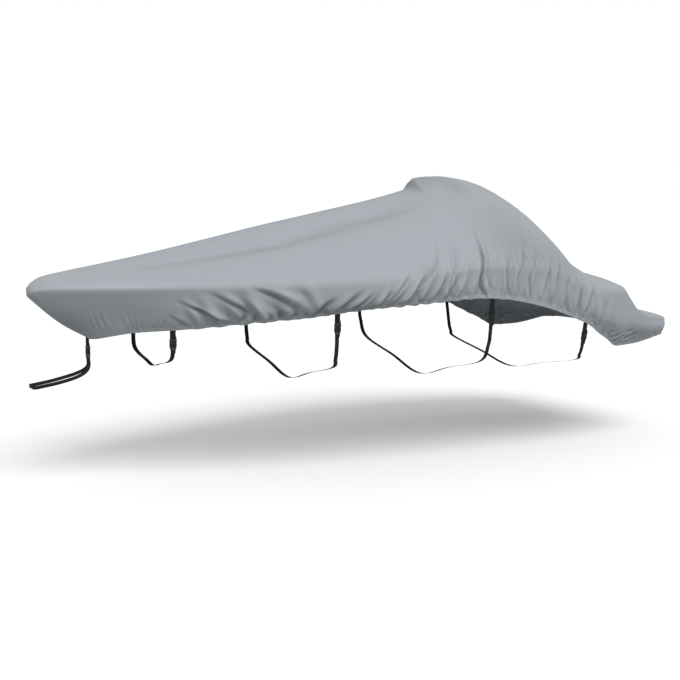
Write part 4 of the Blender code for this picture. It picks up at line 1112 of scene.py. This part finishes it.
# ==================================================================== the bow strap
# A narrow tab under the bow carries a small buckle, and from its plug a closed band of
# the same webbing runs forward round the trailer's winch post.
BOW_WIDTH = 0.028
BOW_STATION = 0.476
BOW_TAB_DROP = 0.058     # of its socket's bar under the stem
POST_FRONT = 0.014       # station of the band's front
POST_CORNER = 0.022      # radius of its corners there
BOW_SEWN = 0.004         # how far its tab goes up into the cloth
BOW_TAB_SHARES = np.linspace(0.2, 0.85, 6)
STRAND_STEPS = 8         # places in each span of a strand
CORNER_STEPS = 9         # places round each corner at the post
BLACK_THREAD = (0.055, 0.055, 0.060, 1.0)
BOW_STRAND = (           # station, distance from the middle and height
    (0.478, 0.012, -0.606), (0.452, 0.034, -0.645), (0.390, 0.058, -0.676),
    (0.300, 0.069, -0.700), (0.180, 0.070, -0.723), (0.036, 0.070, -0.742),
)


def stem_height(station):
    """Height of the stem's seam at a station."""
    girths = np.linspace(0.5, 1.0, 201)
    stem = bare_cloth(np.zeros(201), girths)
    return float(np.interp(station, stem[:, 0], stem[:, 2]))


def bow_band(bar_y, bar_z):
    """Edge points of the closed band: near strand, over the bar, far strand, post."""
    angles = np.linspace(0.0, math.pi, TURN_STEPS)
    over_bar = [(BOW_STATION, bar_y - TURN_RADIUS * math.cos(angle),
                 bar_z + TURN_RADIUS * math.sin(angle)) for angle in angles]
    far = smooth_route([over_bar[-1]] + [(x, bar_y + y, z) for x, y, z in BOW_STRAND],
                       STRAND_STEPS)[1:]
    near = [np.array((x, 2 * bar_y - y, z)) for x, y, z in reversed(far)]
    height, side = BOW_STRAND[-1][2], BOW_STRAND[-1][1]
    front = [(POST_FRONT + POST_CORNER * (1 - math.sin(angle)),
              bar_y + side - POST_CORNER * (1 - math.cos(angle)), height)
             for angle in np.linspace(0.0, math.pi / 2, CORNER_STEPS)[1:]]
    front += [(x, 2 * bar_y - y, z) for x, y, z in reversed(front)]
    centre = [np.array(point) for point in near + over_bar + far + front]
    edges = []
    count = len(centre)
    for n in range(count):
        along = centre[(n + 1) % count] - centre[n - 1]
        slope = math.atan2(abs(along[2]), abs(along[0]) + 1e-9)
        if n >= count - len(front) or n == 0:
            slope = 0.0
        if len(near) <= n < len(near) + len(over_bar):
            slope = math.pi / 2
        lower = np.array((math.sin(slope), 0.0, -math.cos(slope))) * BOW_WIDTH / 2
        edges.append((centre[n] - lower, centre[n] + lower))
    return edges


ends = BOW_STATION - BOW_WIDTH / 2, BOW_STATION + BOW_WIDTH / 2
top = min(stem_height(end) for end in ends) - GAP
line = HangLine((0.0, top), (0.0, top - 1.0))
hangers["bow"] = (line, BOW_TAB_DROP, BOW_STATION, BOW_WIDTH, BOW_WIDTH)
sewn = [tuple((end, 0.0, stem_height(end) + BOW_SEWN) for end in ends)]
hanging = [line.at(BOW_TAB_DROP * share, 0.0) for share in BOW_TAB_SHARES]
hanging += turn_round_bar(line, BOW_TAB_DROP, 1)
tab = add_piece("webbing_tab_bow",
                webbing_mesh("tab", sewn + across_x(hanging, BOW_STATION, BOW_WIDTH)), belt_black)
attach(tab, "root")
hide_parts("tab_bow")
strap_seams.append(tail_seam(line, BOW_TAB_DROP, 1, BOW_STATION, BOW_WIDTH))
band = add_piece("webbing_band_bow",
                 webbing_mesh("band", bow_band(*line.at(plug_bar(BOW_TAB_DROP), TURN_RADIUS)),
                              closed=True), belt_black)
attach(band, "root")
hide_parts("band_bow")
black_thread = new_material("black thread", {"Base Color": BLACK_THREAD, "Roughness": 0.45})[0]
strap_sewing = stitch_tree("strap stitches", black_thread)
sew("strap_stitches", strap_seams, strap_sewing, *STRAP_STITCH, "webbing")
sew("tab_stitches", hem_seams, hem_sewing, *TAB_STITCH, "cover_cloth")

# ==================================================================== the buckles
# Side-release buckles, moulded in black acetal. The socket is two plates with open sides
# round a hollow; the plug's lobes show in the openings and are squeezed to let it go.
PLASTIC_BLACK = (0.006, 0.006, 0.007)
PLASTIC_RUBBED = (0.018, 0.018, 0.020)
SIDE_ARM = 0.0045        # arm at each end of a bar
SOCKET_THICK = 0.013
PLUG_THICK = 0.0075
PLATE = 0.0034           # thickness of the socket's front and back
WINDOW = 0.0065          # depth of the openings in its sides
WINDOW_SPAN = (0.22, 0.80)       # from its top to its mouth, as shares of its length
CORNER = 0.0035          # its corners
SOFT_SPAN = 0.10         # share of its length in which corners and openings curve
OUTLINE_POINTS = 25
LIP = 0.0042             # how far a body closes over the ends of its slot
BAR_ROUND, ARM_ROUND = 0.0020, 0.0016    # rounded edges
INNER_ROUND, RIB_ROUND = 0.0008, 0.0004
LOBE = (0.0075, 0.0056, 0.024)   # the plug's squeezed lobes
LOBE_ARM = (0.005, 0.0056, 0.016)
LOBE_INSET = 0.0045      # of a lobe's middle from the socket's side
LOBE_RIBS = 4            # grip ribs on each lobe
LOBE_RIB_SPACING = 0.0034
PAD_RIB_SPACING = 0.004  # of the three ribs on the socket's front pad


def moulded_plastic():
    """Black acetal: a fine moulded grain, and scuffs rubbed paler here and there."""
    material, tree, shader = new_material("buckle plastic", {})
    place = add_node(tree, "ShaderNodeTexCoord", {})["Object"]
    grain = noise_node(tree, place, scale=1400.0, detail=2.0)
    scuffs = noise_node(tree, place, scale=90.0, detail=4.0, roughness=0.7)
    stops = ((0.35, PLASTIC_BLACK), (0.80, PLASTIC_RUBBED))
    rough = math_node(tree, "ADD", math_node(tree, "MULTIPLY", scuffs, 0.25), 0.22)
    plug_in(tree, shader, {"Base Color": colours(tree, scuffs, stops), "Roughness": rough,
                           "Normal": raised(tree, grain, strength=0.15, distance=0.0002)})
    return material


def block(bm, size, centre, radius):
    """A moulded block with rounded edges."""
    made = bmesh.ops.create_cube(bm, size=1.0)["verts"]
    bmesh.ops.scale(bm, verts=made, vec=size)
    bmesh.ops.translate(bm, verts=made, vec=centre)
    edges = list({edge for vert in made for edge in vert.link_edges})
    bmesh.ops.bevel(bm, geom=edges, offset=radius, segments=2, profile=0.5, affect="EDGES")


def plate(bm, side, y, thick, radius):
    """A moulded plate with a rounded rim. side is its outline on one side, as x and z,
    and the other side is its mirror."""
    rings = []
    for depth in (y - thick / 2, y + thick / 2):
        near = [bm.verts.new((x, depth, z)) for x, z in side]
        far = [bm.verts.new((-x, depth, z)) for x, z in side]
        for a, b, c, d in zip(near, near[1:], far[1:], far):
            bm.faces.new((a, b, c, d))
        rings.append(near + far[::-1])
    front, back = rings
    for i in range(len(front)):
        bm.faces.new((front[i - 1], front[i], back[i], back[i - 1]))
    rims = [bm.edges.get((ring[i - 1], ring[i])) for ring in rings for i in range(len(ring))]
    bmesh.ops.recalc_face_normals(bm, faces=bm.faces)
    bmesh.ops.bevel(bm, geom=rims, offset=radius, segments=2, profile=0.5, affect="EDGES")


def socket_outline(width, top, length):
    """Round corners, and a long soft opening in each side."""
    side = []
    for t in np.linspace(0.0, 1.0, OUTLINE_POINTS):
        corner = sum((max(0.0, SOFT_SPAN - end) / SOFT_SPAN) ** 2 for end in (t, 1 - t))
        opening = float(ease((t - WINDOW_SPAN[0]) / SOFT_SPAN)
                        * ease((WINDOW_SPAN[1] - t) / SOFT_SPAN))
        side.append((width / 2 - CORNER * corner - WINDOW * opening, top - length * t))
    return side


def bar_with_arms(bm, inside, way):
    """The bar at the origin and the arms that join it to the body, down (-1) or up (1)."""
    width = inside + 2 * (SIDE_ARM + 3 * GAP)
    block(bm, (width, BAR, BAR), (0, 0, 0), BAR_ROUND)
    for side in (-1, 1):
        block(bm, (SIDE_ARM, BAR + 0.001, SLOT + BAR + 0.004),
              (side * (width - SIDE_ARM) / 2, 0, way * (SLOT / 2 + 0.002)), ARM_ROUND)
    return width


def socket(width_inside):
    """Female half: its bar at the origin, its mouth down."""
    bm = bmesh.new()
    width = bar_with_arms(bm, width_inside, -1)
    top = -BAR / 2 - SLOT + LIP
    length = SOCKET_BODY + LIP
    for y in (-1, 1):
        plate(bm, socket_outline(width, top, length), y * (SOCKET_THICK - PLATE) / 2,
              PLATE, 0.0010)
    inner = SOCKET_THICK - 2 * PLATE + 0.001
    block(bm, (width - 0.004, inner, 0.009), (0, 0, top - 0.0045), INNER_ROUND)
    block(bm, (width - 0.030, inner, SOCKET_BODY - 0.012), (0, 0, top - length / 2 + 0.004),
          INNER_ROUND)
    for x in (-1, 1):
        block(bm, (0.006, inner, 0.008), (x * (width / 2 - 0.0032), 0, top - length + 0.0042),
              INNER_ROUND)
    middle = top - SOCKET_BODY * 0.48
    block(bm, (width * 0.46, 0.0016, 0.017), (0, -SOCKET_THICK / 2, middle), 0.0007)
    for step in (-1, 0, 1):
        block(bm, (width * 0.30, 0.0012, 0.0016),
              (0, -SOCKET_THICK / 2 - 0.0008, middle + PAD_RIB_SPACING * step), RIB_ROUND)
    return bm


def plug(width_inside, socket_inside):
    """Male half: its bar at the origin, its lobes up."""
    bm = bmesh.new()
    width = bar_with_arms(bm, width_inside, 1)
    wide = width - width_inside + socket_inside
    shoulder = BAR / 2 + SLOT + PLUG_BODY
    low = BAR / 2 + SLOT - LIP
    side = [(width / 2 - 0.002, low), (width / 2, low + 0.003),
            (wide / 2 - 0.003, shoulder - 0.003), (wide / 2 - 0.004, shoulder)]
    plate(bm, side, 0.0, PLUG_THICK + 0.003, 0.0014)
    block(bm, (width * 0.4, 0.0014, 0.006), (0, -(PLUG_THICK + 0.003) / 2, low + 0.007), 0.0006)
    for x in (-1, 1):
        place = wide / 2 - LOBE_INSET
        block(bm, LOBE, (x * place, 0, shoulder + 0.0215), 0.0022)
        block(bm, LOBE_ARM, (x * (place - 0.006), 0, shoulder + 0.007), 0.0010)
        for step in range(LOBE_RIBS):
            height = shoulder + 0.0165 + LOBE_RIB_SPACING * step
            block(bm, (0.0012, 0.0058, 0.0014), (x * (place + 0.0038), 0, height), RIB_ROUND)
    return bm


acetal = moulded_plastic()
for name, (line, bar, station, tab_width, belt_width) in hangers.items():
    for kind, bm, down in (("socket", socket(tab_width), bar),
                           ("plug", plug(belt_width, tab_width), plug_bar(bar))):
        y, z = line.at(down, TURN_RADIUS)
        turn = Matrix.Rotation(line.tilt(), 4, "X")
        move = Matrix.Translation(Vector(to_frame((station, y, z))))
        bmesh.ops.transform(bm, matrix=move @ turn, verts=bm.verts)
        bmesh.ops.recalc_face_normals(bm, faces=bm.faces)
        mesh = bpy.data.meshes.new(kind)
        bm.to_mesh(mesh)
        bm.free()
        mesh.shade_smooth()
        half = add_piece("buckle_" + kind + "_" + name, mesh, acetal)
        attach(half, "root")
        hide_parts(kind + "_" + name)

# ==================================================================== the studio
# A pale paper floor at the height of the trailer's wheels. Soft light comes from all
# round, and a broad soft key from above and to port.
FLOOR_HEIGHT = -1.54
FLOOR_REACH = 60.0
FLOOR_COLOUR = (0.42, 0.43, 0.42, 1.0)   # as the cover's underside sees it
PAPER_WHITE = (0.93, 0.93, 0.93, 1.0)    # as the camera sees it
WHITE = (1.0, 1.0, 1.0, 1.0)
FLOOR_GLOW = 0.16
SKY = 0.50
SKY_COLOUR = (0.97, 1.0, 0.98, 1.0)
KEY = 1.95
KEY_COLOUR = (1.0, 0.96, 0.98)
KEY_SOFTNESS = 40        # degrees
KEY_FROM = (0.0, -0.6, 0.8)
floor_mesh = bpy.data.meshes.new("floor")
bm = bmesh.new()
bmesh.ops.create_grid(bm, x_segments=1, y_segments=1, size=FLOOR_REACH)
bmesh.ops.translate(bm, verts=bm.verts, vec=(0, 0, FLOOR_HEIGHT - TOP_HEIGHT))
bm.to_mesh(floor_mesh)
bm.free()
paper = bpy.data.materials.new("studio paper")
paper.use_nodes = True
tree = paper.node_tree
tree.nodes.clear()
dull = add_node(tree, "ShaderNodeBsdfDiffuse", {"Color": FLOOR_COLOUR})
bright = add_node(tree, "ShaderNodeBsdfDiffuse", {"Color": PAPER_WHITE})
glow = add_node(tree, "ShaderNodeEmission", {"Color": WHITE, "Strength": FLOOR_GLOW})
both = add_node(tree, "ShaderNodeAddShader", {0: bright["BSDF"], 1: glow["Emission"]})
seen = add_node(tree, "ShaderNodeLightPath", {})["Is Camera Ray"]
either = add_node(tree, "ShaderNodeMixShader", {"Fac": seen, 1: dull["BSDF"], 2: both["Shader"]})
add_node(tree, "ShaderNodeOutputMaterial", {"Surface": either["Shader"]})
floor = add_piece("floor", floor_mesh, paper)

world = bpy.data.worlds.new("studio")
world.use_nodes = True
tree = world.node_tree
soft_sky = tree.nodes["Background"]
plug_in(tree, soft_sky, {"Color": SKY_COLOUR, "Strength": SKY})
wall = add_node(tree, "ShaderNodeBackground", {"Color": WHITE, "Strength": 1.0})
seen = add_node(tree, "ShaderNodeLightPath", {})["Is Camera Ray"]
either = add_node(tree, "ShaderNodeMixShader", {
    "Fac": seen, 1: soft_sky.outputs["Background"], 2: wall["Background"]})
plug_in(tree, tree.nodes["World Output"], {"Surface": either["Shader"]})
bpy.context.scene.world = world

key_data = bpy.data.lights.new("key", "SUN")
key_data.energy = KEY
key_data.color = KEY_COLOUR
key_data.angle = math.radians(KEY_SOFTNESS)
key = new_object("key", key_data)
key.rotation_euler = Vector(KEY_FROM).to_track_quat("Z", "Y").to_euler()
bpy.context.scene.view_settings.view_transform = "Standard"
